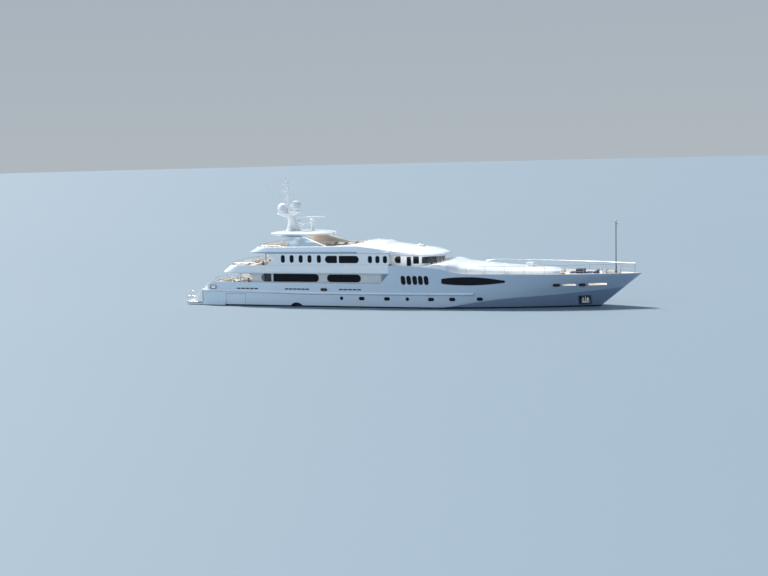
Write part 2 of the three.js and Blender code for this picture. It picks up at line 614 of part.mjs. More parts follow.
function foredeckTrunk() {
  const base = 3;
  const mound = loft(TRUNK.map(([x, half, top, power]) => Array.from({ length: 15 }, (_, i) => {
    const turn = (Math.PI * i) / 14;
    const out = Math.sign(Math.cos(turn)) * Math.abs(Math.cos(turn)) ** 0.6;
    return [x, half * out, base + (top - base) * Math.sin(turn) ** power];
  })), 'x');
  const walkway = planPrism([[2, -4.3], ...Array.from({ length: 15 }, (_, i) => {
    const turn = (Math.PI / 2) * (i / 7 - 1);
    return [2.6 + 3.1 * Math.cos(turn) ** 0.8, 4.3 * Math.sign(turn) * Math.abs(Math.sin(turn)) ** 0.8];
  }), [2, 4.3]], 2, 9);
  const vent = box(14.3, 15.15, -0.4, 0.4, 4.2, 4.98);
  const room = common(hullForm(0.15 + GAP, 2), sidePrism(upperDeckLine(GAP), -6, 6));
  return common(join(cut(mound, walkway), vent), room);
}

// Arch, hardtop and mast

const ARCH_LEAN = 1;
const ARCH_Y = [4.3, 4.46];
const HARDTOP_Z = 8.3;
const HARDTOP_TOP = 8.7;

function archLeg(side) {
  const foot = (x) => sunBandTop(x) + GAP;
  const profile = [[-14.07, foot(-14.07)], [-13.5, 7.49], [-14.87, HARDTOP_Z], [-12.18, HARDTOP_Z],
    [-8.96, foot(-8.96)]];
  const lean = new THREE.Matrix4().set(1, 0, 0, 0, 0, 1, -ARCH_LEAN, 7 * ARCH_LEAN, 0, 0, 1, 0, 0, 0, 0, 1);
  const leg = sidePrism(profile, ...ARCH_Y).applyMatrix4(lean);
  return side < 0 ? mirrored(leg) : leg;
}

// Plan of the hardtop at one height: a squarish stern end and a round nose.
const HARDTOP = { centre: -12.44, half: 3.2, aft: 4.45, fore: 3.35 };

function hardtopRing(z, inset) {
  const { centre, half, aft, fore } = HARDTOP;
  return Array.from({ length: 24 }, (_, i) => {
    const turn = (Math.PI * i) / 12;
    const [along, across] = [Math.cos(turn), Math.sin(turn)];
    const power = along > 0 ? 0.9 : 0.62;
    const reach = (along > 0 ? fore : aft) - inset;
    return [centre + Math.sign(along) * reach * Math.abs(along) ** power,
      (half - inset) * Math.sign(across) * Math.abs(across) ** power, z];
  });
}

function hardtop() {
  const shell = loft([
    hardtopRing(HARDTOP_Z + GAP, 0.12), hardtopRing(8.44, 0.02), hardtopRing(8.52, 0),
    hardtopRing(8.62, 0.35), hardtopRing(HARDTOP_TOP, 1.1),
  ], 'z');
  const smallDome = new THREE.SphereGeometry(0.29, 12, 8).translate(-14.45, -0.85, 8.95);
  const domeFoot = rod([-14.45, -0.85, 8.6], [-14.45, -0.85, 8.8], 0.17, 10);
  return join(shell, smallDome, domeFoot);
}

function mast() {
  const ring = (x0, x1, half, z) => [[x0, -half * 0.6, z], [(x0 + x1) / 2, -half, z], [x1, -half * 0.3, z],
    [x1, half * 0.3, z], [(x0 + x1) / 2, half, z], [x0, half * 0.6, z]];
  const column = loft([
    ring(-15.35, -13.35, 0.42, HARDTOP_TOP + GAP), ring(-15.15, -13.8, 0.36, 9.4),
    ring(-15.08, -14.2, 0.28, 10.43), ring(-15.12, -14.56, 0.18, 11.3),
  ], 'z');
  const aftArm = sidePrism([[-14.7, 10.2], [-16.35, 10.72], [-16.35, 10.84], [-14.7, 10.84]], -0.3, 0.3);
  const foreArm = sidePrism([[-14.7, 10.5], [-13.4, 10.98], [-13.4, 11.12], [-14.7, 11.12]], -0.3, 0.3);
  return join(column, aftArm, foreArm);
}

const DOMES = { aft: [-15.73, 10.84], forward: [-13.97, 11.12] };

function satelliteDome([x, base]) {
  const profile = [[0, 0], [0.3, 0], [0.3, 0.08], [0.52, 0.12], [0.6, 0.3], [0.61, 0.6], [0.56, 0.85],
    [0.42, 1.06], [0.22, 1.19], [0, 1.23]];
  return new THREE.LatheGeometry(profile.map(([r, z]) => new THREE.Vector2(r, z)), 16)
    .rotateX(Math.PI / 2)
    .translate(x, 0, base + GAP);
}

const RADAR = { x: -11.92, bar: 3.66, barZ: 10.3, pedestalTop: 10.2 };

function radarPedestal() {
  const post = rod([RADAR.x, 0, HARDTOP_TOP + GAP], [RADAR.x, 0, 9.9], 0.1, 10);
  const head = box(RADAR.x - 0.24, RADAR.x + 0.24, -0.2, 0.2, 9.8, RADAR.pedestalTop);
  const beam = box(-14.5, RADAR.x + 0.3, -0.07, 0.07, 9.52, 9.64);
  const mastAway = mast().translate(GAP, 0, 0);
  return cut(join(post, head, beam), mastAway, box(-15.5, -14.2, -1, 1, 9, 10));
}

function radarScanner() {
  const half = RADAR.bar / 2;
  const hub = rod([RADAR.x, 0, RADAR.pedestalTop + GAP], [RADAR.x, 0, RADAR.barZ + 0.05], 0.12, 12);
  return join(hub, box(RADAR.x - half, RADAR.x + half, -0.1, 0.06, RADAR.barZ, RADAR.barZ + 0.13));
}

function poleMast() {
  const base = 11.3 + GAP;
  const foot = -14.84;
  const top = 14.6;
  const at = (z) => foot - (0.3 * (z - base)) / (top - base);
  const uprights = [-0.14, 0.14].map((offset) => (
    rod([foot + offset, 0, base + 0.02], [at(top) + offset * 0.7, 0, top], 0.035, 6)));
  const spreaders = [[12.46, 0.5], [13.44, 0.6], [14.32, 0.45]].flatMap(([z, reach]) => [
    box(at(z) - reach - 0.1, at(z) + 0.25, -0.03, 0.03, z - 0.03, z + 0.03),
    box(at(z) - 0.05, at(z) + 0.05, -reach, reach, z - 0.02, z + 0.02),
  ]);
  const plate = box(foot - 0.2, foot + 0.2, -0.1, 0.1, base, base + 0.06);
  const whip = rod([at(top) - 0.1, 0, 14.3], [at(top) - 0.1, 0, 16.32], 0.02, 6);
  return join(...uprights, ...spreaders, plate, whip);
}

const JACKSTAFF_X = 24.4;

function deckHeight(x) {
  const [{ x: x0, z: z0 }, { x: x1, z: z1 }] = [FOREDECK_AFT, FOREDECK_BOW];
  return z0 + ((z1 - z0) * (x - x0)) / (x1 - x0);
}

function jackstaff() {
  const foot = deckHeight(JACKSTAFF_X) + 0.0015;
  return join(rod([JACKSTAFF_X, 0, foot], [JACKSTAFF_X, 0, 9.79], 0.06, 8),
    rod([JACKSTAFF_X, 0, foot], [JACKSTAFF_X, 0, foot + 0.5], 0.12, 10));
}

// Rails

const RAIL_RADIUS = 0.028;

function railing(top, posts, steps) {
  return join(tube(top, RAIL_RADIUS, steps),
    ...posts.map(([foot, head]) => rod(foot, head, RAIL_RADIUS * 0.9, 6)));
}

function foredeckRail(side) {
  const y = (x) => side * (section(x).sheer[0] - 0.07);
  const z = (x) => between(SHEER, x) + 0.0015;
  const height = 4.88;
  const postsX = [10.28, 12.49, 14.65, 16.85, 19, 21.1, 23.1, 25, 26.5];
  const top = [[8.12, y(8.12), z(8.12) + 0.005], [8.2, y(8.2), 4.5], [9.2, y(9.2), height - 0.05],
    ...postsX.map((x) => [x, y(x), height])];
  return railing(top, postsX.map((x) => [[x, y(x), z(x)], [x, y(x), height]]), 22);
}

// A rail round a rounded stern, on posts that stand on the band below it.
function sternRail({ front, aft, half, curve, topZ, footZ, posts }) {
  const route = sternOutline(front, aft, half, curve);
  const at = posts.map((i) => route[i]);
  const uprights = at.map(([x, y]) => [[x, y, footZ(x)], [x, y, topZ]]);
  return railing(route.map(([x, y]) => [x, y, topZ]), uprights, 30);
}

const BRIDGE_RAIL = { front: -15.92, aft: -21.28, half: 4.64, curve: 2.6, topZ: 5.17,
  footZ: (x) => bridgeBandTop(x) + 0.0015, posts: [1, 3, 5, 7, 9, 11, 13, 15, 17] };
const SUN_RAIL = { front: -14.3, aft: -17.82, half: 4.36, curve: 2.6, topZ: 7.2,
  footZ: (x) => sunBandTop(x) + 0.0015, posts: [0, 2, 4, 6, 9, 12, 14, 16, 18] };

// The rail on the transom's bulwark, its feet on the bulwark's sloping top.
function transomRail() {
  const [x, half, foot, top, bend] = [-24, 2.3, 2.7275, 3.1, 0.15];
  const side = (s) => [[x, s * half, foot], [x, s * half, top - bend], [x, s * (half - bend), top]];
  const route = [...side(-1), [x, -1, top], [x, 1, top], ...side(1).reverse()];
  const posts = [-1.2, 0, 1.2].map((at) => [[x, at, foot], [x, at, top]]);
  return railing(route, posts, 24);
}

function platformRail(side) {
  const y = side * 3.7;
  const foot = PLATFORM_Z + GAP;
  const bend = 0.12;
  const hoop = (x0, x1, top) => tube([
    [x0, y, foot], [x0, y, top - bend], [x0 + bend, y, top], [x1 - bend, y, top],
    [x1, y, top - bend], [x1, y, foot],
  ], RAIL_RADIUS, 12);
  return join(hoop(-27.08, -26.72, 1.55), hoop(-26.56, -26.12, 1.6),
    rod([-27.08, y, 1], [-26.12, y, 1], RAIL_RADIUS * 0.8, 6));
}

// Ground tackle

function anchor(side) {
  const floor = ANCHOR_POCKET.floor + GAP;
  const [x, z] = [21.05, 0.8];
  const plate = (points, thick) => (
    sidePrism(points.map(([dx, dz]) => [x + dx, z + dz]), floor, floor + thick));
  const shank = plate([[-0.06, -0.3], [0.06, -0.3], [0.06, 0.42], [-0.06, 0.42]], 0.12);
  const crown = plate([[-0.42, -0.38], [0.42, -0.38], [0.3, -0.14], [-0.3, -0.14]], 0.2);
  const fluke = (s) => plate(
    [[s * 0.38, -0.3], [s * 0.14, -0.2], [s * 0.16, 0.22], [s * 0.3, 0.3], [s * 0.44, -0.1]], 0.1);
  const whole = join(shank, crown, fluke(-1), fluke(1));
  return side < 0 ? mirrored(whole) : whole;
}

// Running gear

// A blade with a rounded nose and a fine tail, from z = 0 down to z = -span.
function foil(rootChord, tipChord, thick, span) {
  const profile = [[0.45, 0], [0.3, 0.8], [0.05, 1], [-0.25, 0.6], [-0.55, 0.12], [-0.55, -0.12],
    [-0.25, -0.6], [0.05, -1], [0.3, -0.8]];
  const ring = (chord, z, t) => profile.map(([x, y]) => [x * chord, (y * t) / 2, z]);
  return loft([ring(rootChord, 0, thick), ring(rootChord * 0.97, -span * 0.6, thick * 0.9),
    ring(tipChord, -span, thick * 0.6)], 'z');
}

function strut(side) {
  const [x, y] = [SHAFT.propX + 0.62, side * SHAFT.y];
  const z = shaftPoint(x);
  const barrel = cut(
    rod([x - 0.24, y, shaftPoint(x - 0.24)], [x + 0.24, y, shaftPoint(x + 0.24)], 0.17, 12),
    rod([x - 1, y, shaftPoint(x - 1)], [x + 1, y, shaftPoint(x + 1)], SHAFT.radius + CLEAR, 16),
  );
  const leg = (lean) => {
    const ring = (cy, cz) => [[-0.16, -0.035], [0.16, -0.035], [0.16, 0.035], [-0.16, 0.035]]
      .map(([dx, dy]) => [x + dx, cy + dy, cz]);
    return loft([ring(y + lean * 0.14, z + 0.09), ring(y + lean * 0.62, -0.9)], 'z');
  };
  const hullAway = hullForm().translate(0, 0, -GAP);
  const rib = rod([x - 0.2, y, z + 0.15], [x + 0.2, y, z + 0.15], 0.06, 6);
  const core = rod([x - 1, y, shaftPoint(x - 1)], [x + 1, y, shaftPoint(x + 1)], 0.15, 12);
  return join(barrel, cut(join(leg(-1), leg(1), rib), hullAway, core));
}

function propeller(side) {
  const y = side * SHAFT.y;
  // Columns are the radius, chord, thickness and pitch angle.
  const sections = [
    [0.1, 0.36, 0.09, 62], [0.35, 0.6, 0.05, 42], [0.6, 0.58, 0.035, 30], [PROP.radius, 0.26, 0.02, 24],
  ];
  const blade = loft(sections.map(([r, chord, thick, pitch]) => {
    const turn = THREE.MathUtils.degToRad(pitch) * -side;
    const [c, s] = [Math.cos(turn), Math.sin(turn)];
    return [[0.5, 0], [0, 0.5], [-0.5, 0], [0, -0.5]]
      .map(([across, along]) => [across * chord, along * thick])
      .map(([across, along]) => [along * c - across * s, along * s + across * c, r]);
  }), 'z');
  const blades = Array.from({ length: PROP.blades }, (_, i) => (
    blade.clone().rotateX((2 * Math.PI * i) / PROP.blades)));
  const outline = [
    [0, -0.42], [0.1, -0.36], [0.17, -0.2], [PROP.hub, 0], [PROP.hub, 0.26], [0, 0.26],
  ];
  const hub = new THREE.LatheGeometry(outline.map(([r, z]) => new THREE.Vector2(r, z)), 12)
    .rotateZ(-Math.PI / 2);
  const length = (SHAFT.tubeX - SHAFT.propX) * Math.hypot(1, SHAFT.rise) - GAP;
  const shaft = rod([0, 0, 0], [length, 0, 0], SHAFT.radius, 10);
  return join(hub, shaft, ...blades)
    .rotateY(-Math.atan(SHAFT.rise))
    .translate(SHAFT.propX, y, SHAFT.propZ);
}

function rudder(side) {
  const { x, y, top, foot, chord, thick } = RUDDER;
  const blade = foil(chord, chord * 0.72, thick, top - foot).translate(x, side * y, top);
  return join(blade, rod([x, side * y, top - 0.2], [x, side * y, RUDDER_BOSS_Z - GAP], 0.09, 10));
}

function fin(side) {
  const tilt = Math.atan2(FIN.out, FIN.down) * side;
  const root = 0.11;
  const blade = foil(FIN.chord, FIN.chord * 0.7, 0.2, FIN.span).translate(0, 0, -root);
  const stock = rod([0, 0, -0.06 - GAP], [0, 0, -root - 0.1], 0.14, 10);
  return join(blade, stock).rotateX(tilt).translate(FIN.x, side * FIN.y, FIN.z);
}

// Doors

function sideDoor(side) {
  const face = WHEELHOUSE.half + CLEAR;
  const leaf = box(...SIDE_DOOR.x, face, face + 0.045, BRIDGE_DECK_Z + GAP, SIDE_DOOR.top);
  const pane = box(SIDE_DOOR.x[0] + 0.1, SIDE_DOOR.x[1] - 0.1, 3, 5, 4.84, SIDE_DOOR.top - 0.1);
  const door = cut(leaf, pane);
  return side < 0 ? mirrored(door) : door;
}

function slidingDoor(wallX, deckZ, door) {
  const half = door.half + 0.06;
  const face = wallX - CLEAR;
  const leaf = box(face - 0.05, face, -half, half, deckZ + GAP, door.top + 0.05);
  return cut(leaf, box(face - 1, face + 1, -half + 0.1, half - 0.1, deckZ + 0.3, door.top - 0.05));
}

function shellDoor(side) {
  const [[x0, x1], [z0, z1]] = [SHELL_DOOR.x, SHELL_DOOR.z];
  const opening = box(x0 + CLEAR, x1 - CLEAR, 4.3, 6, z0 + GAP, z1 - CLEAR);
  const room = common(hullForm(SHELL_DOOR.thick), box(-24, -17, 0, 6, -1, 4));
  const door = cut(common(hullForm(), opening), room);
  return side < 0 ? mirrored(door) : door;
}

function transomDoor() {
  const { half, z, thick } = TRANSOM_DOOR;
  return box(TRANSOM_X + GAP, TRANSOM_X + thick, -half + CLEAR, half - CLEAR, z[0] + CLEAR, z[1] - GAP);
}

// Deck furniture

function sofa(x0, x1, half, deck) {
  const seat = box(x0, x1, -half, half, deck + GAP, deck + 0.45);
  const back = box(x0, x0 + 0.25, -half, half, deck + 0.3, deck + 0.85);
  return join(seat, back);
}

function table(x, y, deck, length, width) {
  const ring = (z, grow) => Array.from({ length: 16 }, (_, i) => {
    const turn = (Math.PI * i) / 8;
    return [x + (length / 2 + grow) * Math.cos(turn), y + (width / 2 + grow) * Math.sin(turn), z];
  });
  const top = loft([ring(deck + 0.7, -0.03), ring(deck + 0.75, 0)], 'z');
  return join(top, rod([x, y, deck + GAP], [x, y, deck + 0.72], 0.14, 10));
}

function foredeckLounge() {
  const floor = deckHeight(19.6) + GAP;
  const bench = box(19.6, 22.6, -0.75, 0.75, floor, floor + 0.32);
  const block = box(20.2, 21.2, -0.75, 0.75, floor + 0.2, floor + 0.6);
  return join(bench, block);
}

// Assembly

const PIECES = [
  ['hull', hull(), paint],
  ['swim_platform', swimPlatform(), paint],
  ['transom_door', transomDoor(), paint],
  ['main_deckhouse', mainDeckhouse(), paint],
  ['bridge_deck', bridgeDeck(), paint],
  ['upper_deckhouse', upperDeckhouse(), paint],
  ['lounge_bulkhead', loungeBulkhead(), paint],
  ['wheelhouse', wheelhouse(), paint],
  ['wheelhouse_glazing', windscreenGlass(), glass],
  ['helm_console', helmConsole(), darkPaint],
  ['sun_deck', sunDeck(), paint],
  ['wheelhouse_roof', wheelhouseRoof(), paint],
  ['foredeck_trunk', foredeckTrunk(), paint],
  ['hardtop', hardtop(), paint],
  ['mast', mast(), paint],
  ['satellite_dome_aft', satelliteDome(DOMES.aft), paint],
  ['satellite_dome_forward', satelliteDome(DOMES.forward), paint],
  ['radar_pedestal', radarPedestal(), paint],
  ['radar_scanner', radarScanner(), paint],
  ['pole_mast', poleMast(), paint],
  ['jackstaff', jackstaff(), darkPaint],
  ['bridge_deck_rail', sternRail(BRIDGE_RAIL), steel],
  ['sun_deck_rail', sternRail(SUN_RAIL), steel],
  ['transom_rail', transomRail(), steel],
  ['saloon_door', slidingDoor(SALOON.x[0], MAIN_DECK_Z, SALOON.door), steel],
  ['lounge_door', slidingDoor(LOUNGE.x[0], BRIDGE_DECK_Z, LOUNGE.door), steel],
  ['aft_sofa', sofa(-23.85, -22.9, 2.1, MAIN_DECK_Z), creamCushion],
  ['aft_table', table(-21.2, 0, MAIN_DECK_Z, 2.6, 1.4), teak],
  ['bridge_deck_sofa', sofa(-20.1, -19.1, 1.8, BRIDGE_DECK_Z), creamCushion],
  ['bridge_deck_table', table(-17.8, 0, BRIDGE_DECK_Z, 2, 1.3), teak],
  ['foredeck_lounge', foredeckLounge(), navyCushion],
];

for (const [side, name] of [[-1, 'starboard'], [1, 'port']]) {
  PIECES.push(
    [`saloon_glazing_${name}`, sideGlazing(SALOON_WINDOWS, SALOON.half - SALOON.wall, side), glass],
    [`upper_glazing_${name}`, sideGlazing(UPPER_WINDOWS, LOUNGE.half - LOUNGE.wall, side), glass],
    [`arch_leg_${name}`, archLeg(side), paint],
    [`foredeck_rail_${name}`, foredeckRail(side), steel],
    [`platform_rail_${name}`, platformRail(side), steel],
    [`anchor_${name}`, anchor(side), steel],
    [`engine_${name}`, engine(side), darkPaint],
    [`shaft_strut_${name}`, strut(side), bronze],
    [`propeller_${name}`, propeller(side), bronze],
    [`rudder_${name}`, rudder(side), paint],
    [`stabiliser_fin_${name}`, fin(side), paint],
    [`wheelhouse_door_${name}`, sideDoor(side), steel],
    [`shell_door_${name}`, shellDoor(side), paint],
  );
}

const yacht = new THREE.Group();
yacht.scale.setScalar(MM_PER_METRE);
for (const [name, geometry, finish] of PIECES) {
  const mesh = new THREE.Mesh(geometry, new THREE.MeshStandardMaterial(finish));
  mesh.name = name;
  yacht.add(mesh);
}

export default yacht;
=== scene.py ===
"""A motor yacht afloat, as a half-size model: its looks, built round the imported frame.

Every length below is a metre on the real yacht, and SCALE turns it into the model's metres.
+X runs to the bow, +Y to port, +Z up, with the origin amidships at the waterline.
"""
import math

import bmesh
import bpy
import numpy as np
from mathutils import Matrix, Vector


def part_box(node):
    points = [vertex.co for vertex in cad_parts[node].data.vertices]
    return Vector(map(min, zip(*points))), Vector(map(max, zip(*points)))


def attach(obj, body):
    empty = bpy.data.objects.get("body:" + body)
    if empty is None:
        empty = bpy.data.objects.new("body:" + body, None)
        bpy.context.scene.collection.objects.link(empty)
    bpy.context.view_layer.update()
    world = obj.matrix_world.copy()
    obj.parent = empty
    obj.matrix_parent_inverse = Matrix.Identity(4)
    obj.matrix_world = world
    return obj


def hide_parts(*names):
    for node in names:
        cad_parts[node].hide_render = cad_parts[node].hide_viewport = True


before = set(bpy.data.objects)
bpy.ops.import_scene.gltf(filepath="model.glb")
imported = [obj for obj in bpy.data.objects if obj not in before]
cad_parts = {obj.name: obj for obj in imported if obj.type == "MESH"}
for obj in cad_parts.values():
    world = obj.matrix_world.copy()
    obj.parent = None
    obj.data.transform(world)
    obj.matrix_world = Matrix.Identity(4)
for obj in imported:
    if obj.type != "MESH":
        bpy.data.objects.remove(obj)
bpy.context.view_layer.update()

# Driving dimensions, the same as the frame's
SCALE = 0.5
BOW_X, BOW_Z = 27.25, 3.81
STEM_WATERLINE_X = 22.66
TRANSOM_X = -24.7
ENTRANCE_X = 2
HALF_BEAM, CHINE_HALF_BEAM, WATERLINE_HALF_BEAM = 4.8, 4.75, 4.62
STERN_NARROWING = 0.35
CANOE_DEPTH, STERN_RISE, RUN_START_X = 2.2, 1.45, -6
KEEL_HALF, STEM_HALF, HULL_WALL = 0.12, 0.04, 0.18
MAIN_DECK_Z, BRIDGE_DECK_Z, SUN_DECK_Z = 1.85, 4.2, 6.55
FOREDECK = [(8.1, 3.72), (26.7, 3.58)]
MAIN_BULWARK_Z, BRIDGE_SLAB_Z, SUN_SLAB_Z, PLATFORM_Z = 2.86, 3.9, 6.3, 0.4
BRIDGE_FRONT_X, SUN_FRONT_X = -1, -4.78
STERN_SQUARENESS = 2 / 4.4
# Under a piece that the frame has too, under one that only this script has, and round what moves
GAP, FOOT_GAP, CLEAR = 0.0008, 0.0015, 0.012
SIDES = ((-1, "starboard"), (1, "port"))

# The topsides' upper edge: x and height
SHEER = [
    (TRANSOM_X, 5), (-2, 5), (-1, 4.95), (1, 4.9), (2.7, 4.84), (4, 4.66), (5.14, 4.47), (6.75, 4.18),
    (8.12, 4.02), (10.3, 4), (12.5, 3.99), (17, 3.92), (20.8, 3.88), (23.9, 3.85), (BOW_X, BOW_Z),
]
# The chine: fraction of the way from ENTRANCE_X to the stem, and height
CHINE = [(0, 0.06), (0.128, 0.12), (0.45, 1.1), (0.725, 1.57), (0.848, 1.84), (1, 2.22)]

# Mesh kit


def collect(obj):
    """Puts an object into the scene."""
    bpy.context.scene.collection.objects.link(obj)
    return obj


def body(points, faces):
    """A loose closed body from points in real metres, with its faces turned out."""
    mesh = bpy.data.meshes.new("body")
    mesh.from_pydata([[SCALE * c for c in p] for p in points], [], faces)
    shell = bmesh.new()
    shell.from_mesh(mesh)
    bmesh.ops.recalc_face_normals(shell, faces=shell.faces)
    shell.to_mesh(mesh)
    shell.free()
    return collect(bpy.data.objects.new("body", mesh))


def discard(*objects):
    """Removes helper bodies together with their meshes."""
    for obj in objects:
        mesh = obj.data
        bpy.data.objects.remove(obj)
        bpy.data.meshes.remove(mesh)


def settle(obj):
    """Puts the modifiers' result in place of the mesh."""
    graph = bpy.context.evaluated_depsgraph_get()
    graph.update()
    result = bpy.data.meshes.new_from_object(obj.evaluated_get(graph))
    old = obj.data
    obj.modifiers.clear()
    obj.data = result
    bpy.data.meshes.remove(old)
    return obj


def combine(operation, obj, others):
    """Applies one boolean operation with each of the others, and uses them up."""
    for other in others:
        step = obj.modifiers.new("combine", "BOOLEAN")
        step.operation, step.solver, step.object = operation, "MANIFOLD", other
    settle(obj)
    discard(*others)
    return obj


def carve(obj, *tools):
    return combine("DIFFERENCE", obj, tools)


def unite(obj, *others):
    return combine("UNION", obj, others)


def overlap(obj, *others):
    return combine("INTERSECT", obj, others)


def bundle(*objects):
    """Several loose bodies in one mesh, with nothing cut."""
    first, shell = objects[0], bmesh.new()
    for obj in objects:
        shell.from_mesh(obj.data)
    shell.to_mesh(first.data)
    shell.free()
    discard(*objects[1:])
    return first


def bevel(obj, width, segments=2, angle=35):
    """Rounds the edges sharper than angle, by width in real metres."""
    step = obj.modifiers.new("bevel", "BEVEL")
    step.width, step.segments, step.limit_method = SCALE * width, segments, "ANGLE"
    step.angle_limit = math.radians(angle)
    step.use_clamp_overlap = True
    return settle(obj)


def mirror_y(obj):
    """A copy on the other side of the centreline."""
    copy = collect(bpy.data.objects.new("body", obj.data.copy()))
    copy.data.transform(Matrix.Scale(-1, 4, (0, 1, 0)))
    copy.data.flip_normals()
    return copy


def both(obj):
    """The body and its mirror image to starboard, as one object."""
    return bundle(obj, mirror_y(obj))


def loft(rings, paired=False):
    """A closed body through rings of points. Paired ends are closed by a ladder of quads."""
    count = len(rings[0])
    faces = []
    for k in range(len(rings) - 1):
        for i in range(count):
            a, b = k * count + i, k * count + (i + 1) % count
            faces.append((a, b, b + count, a + count))
    for start in (0, (len(rings) - 1) * count):
        if paired:
            faces += [tuple(start + j for j in (i, i + 1, count - i - 2, count - i - 1))
                      for i in range(count // 2 - 1)]
        else:
            faces.append(tuple(range(start, start + count)))
    return body([p for ring in rings for p in ring], faces)


def side_prism(outline, y0, y1):
    """A body from an outline of x and z, drawn across the ship."""
    return loft([[(x, y, z) for x, z in outline] for y in (y0, y1)])


def plan_prism(outline, z0, z1):
    """A body from an outline of x and y, drawn upwards."""
    return loft([[(x, y, z) for x, y in outline] for z in (z0, z1)])


def box(x0, x1, y0, y1, z0, z1):
    return plan_prism([(x0, y0), (x1, y0), (x1, y1), (x0, y1)], z0, z1)


def end_prism(outline, x0, x1):
    """A prism along X from an outline of y and z."""
    return loft([[(x, y, z) for y, z in outline] for x in (x0, x1)])


def through(outline):
    """A prism from side to side of the whole yacht."""
    return side_prism(outline, -6, 6)


def cutters(outlines):
    """One tool that cuts every outline through the whole yacht."""
    return bundle(*[through(o) for o in outlines])


def end_panels(near, far, z0, z1, corner, x0, x1):
    """Two rounded panels square to X, one on each side of the centreline."""
    return [end_prism(rounded(*sorted((s * near, s * far)), z0, z1, corner), x0, x1) for s in (-1, 1)]


def full_turn(count):
    """The angles of so many equal steps round a circle."""
    return [2 * math.pi * i / count for i in range(count)]


def signed_power(value, power):
    """A power that keeps the sign of its value."""
    return math.copysign(abs(value) ** power, value)


def half_round(power, steps):
    """Shares ahead and abeam round a blunt end, from starboard to port."""
    shares = []
    for i in range(2 * steps + 1):
        turn = math.pi / 2 * (i / steps - 1)
        shares.append((max(0.0, math.cos(turn)) ** power, signed_power(math.sin(turn), power)))
    return shares


def ring_about(centre, along, radius, sides):
    """Points of a circle square to a direction."""
    along = Vector(along).normalized()
    aside = along.cross((0, 0, 1) if abs(along.z) < 0.9 else (1, 0, 0)).normalized()
    up = aside.cross(along)
    return [Vector(centre) + radius * (math.cos(t) * aside + math.sin(t) * up) for t in full_turn(sides)]


def rod(a, b, radius, sides=14, end_radius=None):
    """A straight round bar from a to b, tapered if it has an end radius."""
    along = Vector(b) - Vector(a)
    last = radius if end_radius is None else end_radius
    return loft([ring_about(a, along, radius, sides), ring_about(b, along, last, sides)])


def lathe(profile, centre, sides=32, axis=(0, 0, 1)):
    """A body turned about an axis through centre: the profile's columns are radius and height."""
    axis = Vector(axis).normalized()
    return loft([ring_about(Vector(centre) + h * axis, axis, max(r, 0.0004), sides) for r, h in profile])


def curve_through(points, steps):
    """A smooth line through the points, as a centripetal spline."""
    knots = [Vector(p) for p in points]
    ends = [2 * knots[0] - knots[1], *knots, 2 * knots[-1] - knots[-2]]
    line = []
    for p0, p1, p2, p3 in zip(ends, ends[1:], ends[2:], ends[3:]):
        t0, t1 = 0, max(1e-4, (p1 - p0).length ** 0.5)
        t2 = t1 + max(1e-4, (p2 - p1).length ** 0.5)
        t3 = t2 + max(1e-4, (p3 - p2).length ** 0.5)
        for k in range(steps):
            t = t1 + (t2 - t1) * k / steps
            a1 = p0 * ((t1 - t) / (t1 - t0)) + p1 * ((t - t0) / (t1 - t0))
            a2 = p1 * ((t2 - t) / (t2 - t1)) + p2 * ((t - t1) / (t2 - t1))
            a3 = p2 * ((t3 - t) / (t3 - t2)) + p3 * ((t - t2) / (t3 - t2))
            b1 = a1 * ((t2 - t) / (t2 - t0)) + a2 * ((t - t0) / (t2 - t0))
            b2 = a2 * ((t3 - t) / (t3 - t1)) + a3 * ((t - t1) / (t3 - t1))
            line.append(b1 * ((t2 - t) / (t2 - t1)) + b2 * ((t - t1) / (t2 - t1)))
    return [*line, knots[-1]]


def tube(points, radius, sides=8, steps=0):
    """A round tube along a line, smoothed where steps is given."""
    line = curve_through(points, steps) if steps else [Vector(p) for p in points]
    rings, aside = [], None
    for k, p in enumerate(line):
        along = (line[min(k + 1, len(line) - 1)] - line[max(k - 1, 0)]).normalized()
        if aside is None:
            aside = along.cross((0, 0, 1) if abs(along.z) < 0.9 else (1, 0, 0))
        aside = (aside - aside.dot(along) * along).normalized()
        up = along.cross(aside)
        rings.append([p + radius * (math.cos(t) * aside + math.sin(t) * up) for t in full_turn(sides)])
    return loft(rings)


def rounded(x0, x1, z0, z1, radius, steps=8, lean=0):
    """A box outline with round corners, its top leaning aft by lean for each metre of height."""
    radius = min(radius, (x1 - x0) / 2 - 1e-4, (z1 - z0) / 2 - 1e-4)
    corners = [(x1 - radius, z1 - radius, 0), (x0 + radius, z1 - radius, 90),
               (x0 + radius, z0 + radius, 180), (x1 - radius, z0 + radius, 270)]
    points = []
    for cx, cz, start in corners:
        for i in range(steps + 1):
            turn = math.radians(start + 90 * i / steps)
            points.append((cx + radius * math.cos(turn), cz + radius * math.sin(turn)))
    middle = (z0 + z1) / 2
    return [(x - lean * (z - middle), z) for x, z in points]


def between(table, x):
    """Reads a table of x and value along straight lines."""
    return float(np.interp(x, [row[0] for row in table], [row[1] for row in table]))


def eased(table, x):
    """Reads a table along a smooth line that never overshoots its rows."""
    xs, zs = (np.array(column, float) for column in zip(*table))
    k = int(np.clip(np.searchsorted(xs, x) - 1, 0, len(xs) - 2))
    slopes = np.diff(zs) / np.diff(xs)

    def tangent(i):
        before, after = slopes[max(0, i - 1)], slopes[min(i, len(slopes) - 1)]
        if before * after <= 0:
            return 0
        return after if i in (0, len(xs) - 1) else 2 / (1 / before + 1 / after)

    span = xs[k + 1] - xs[k]
    t = min(1, max(0, (x - xs[k]) / span))
    return float((2 * t ** 3 - 3 * t ** 2 + 1) * zs[k] + (t ** 3 - 2 * t ** 2 + t) * span * tangent(k)
                 + (3 * t ** 2 - 2 * t ** 3) * zs[k + 1] + (t ** 3 - t ** 2) * span * tangent(k + 1))


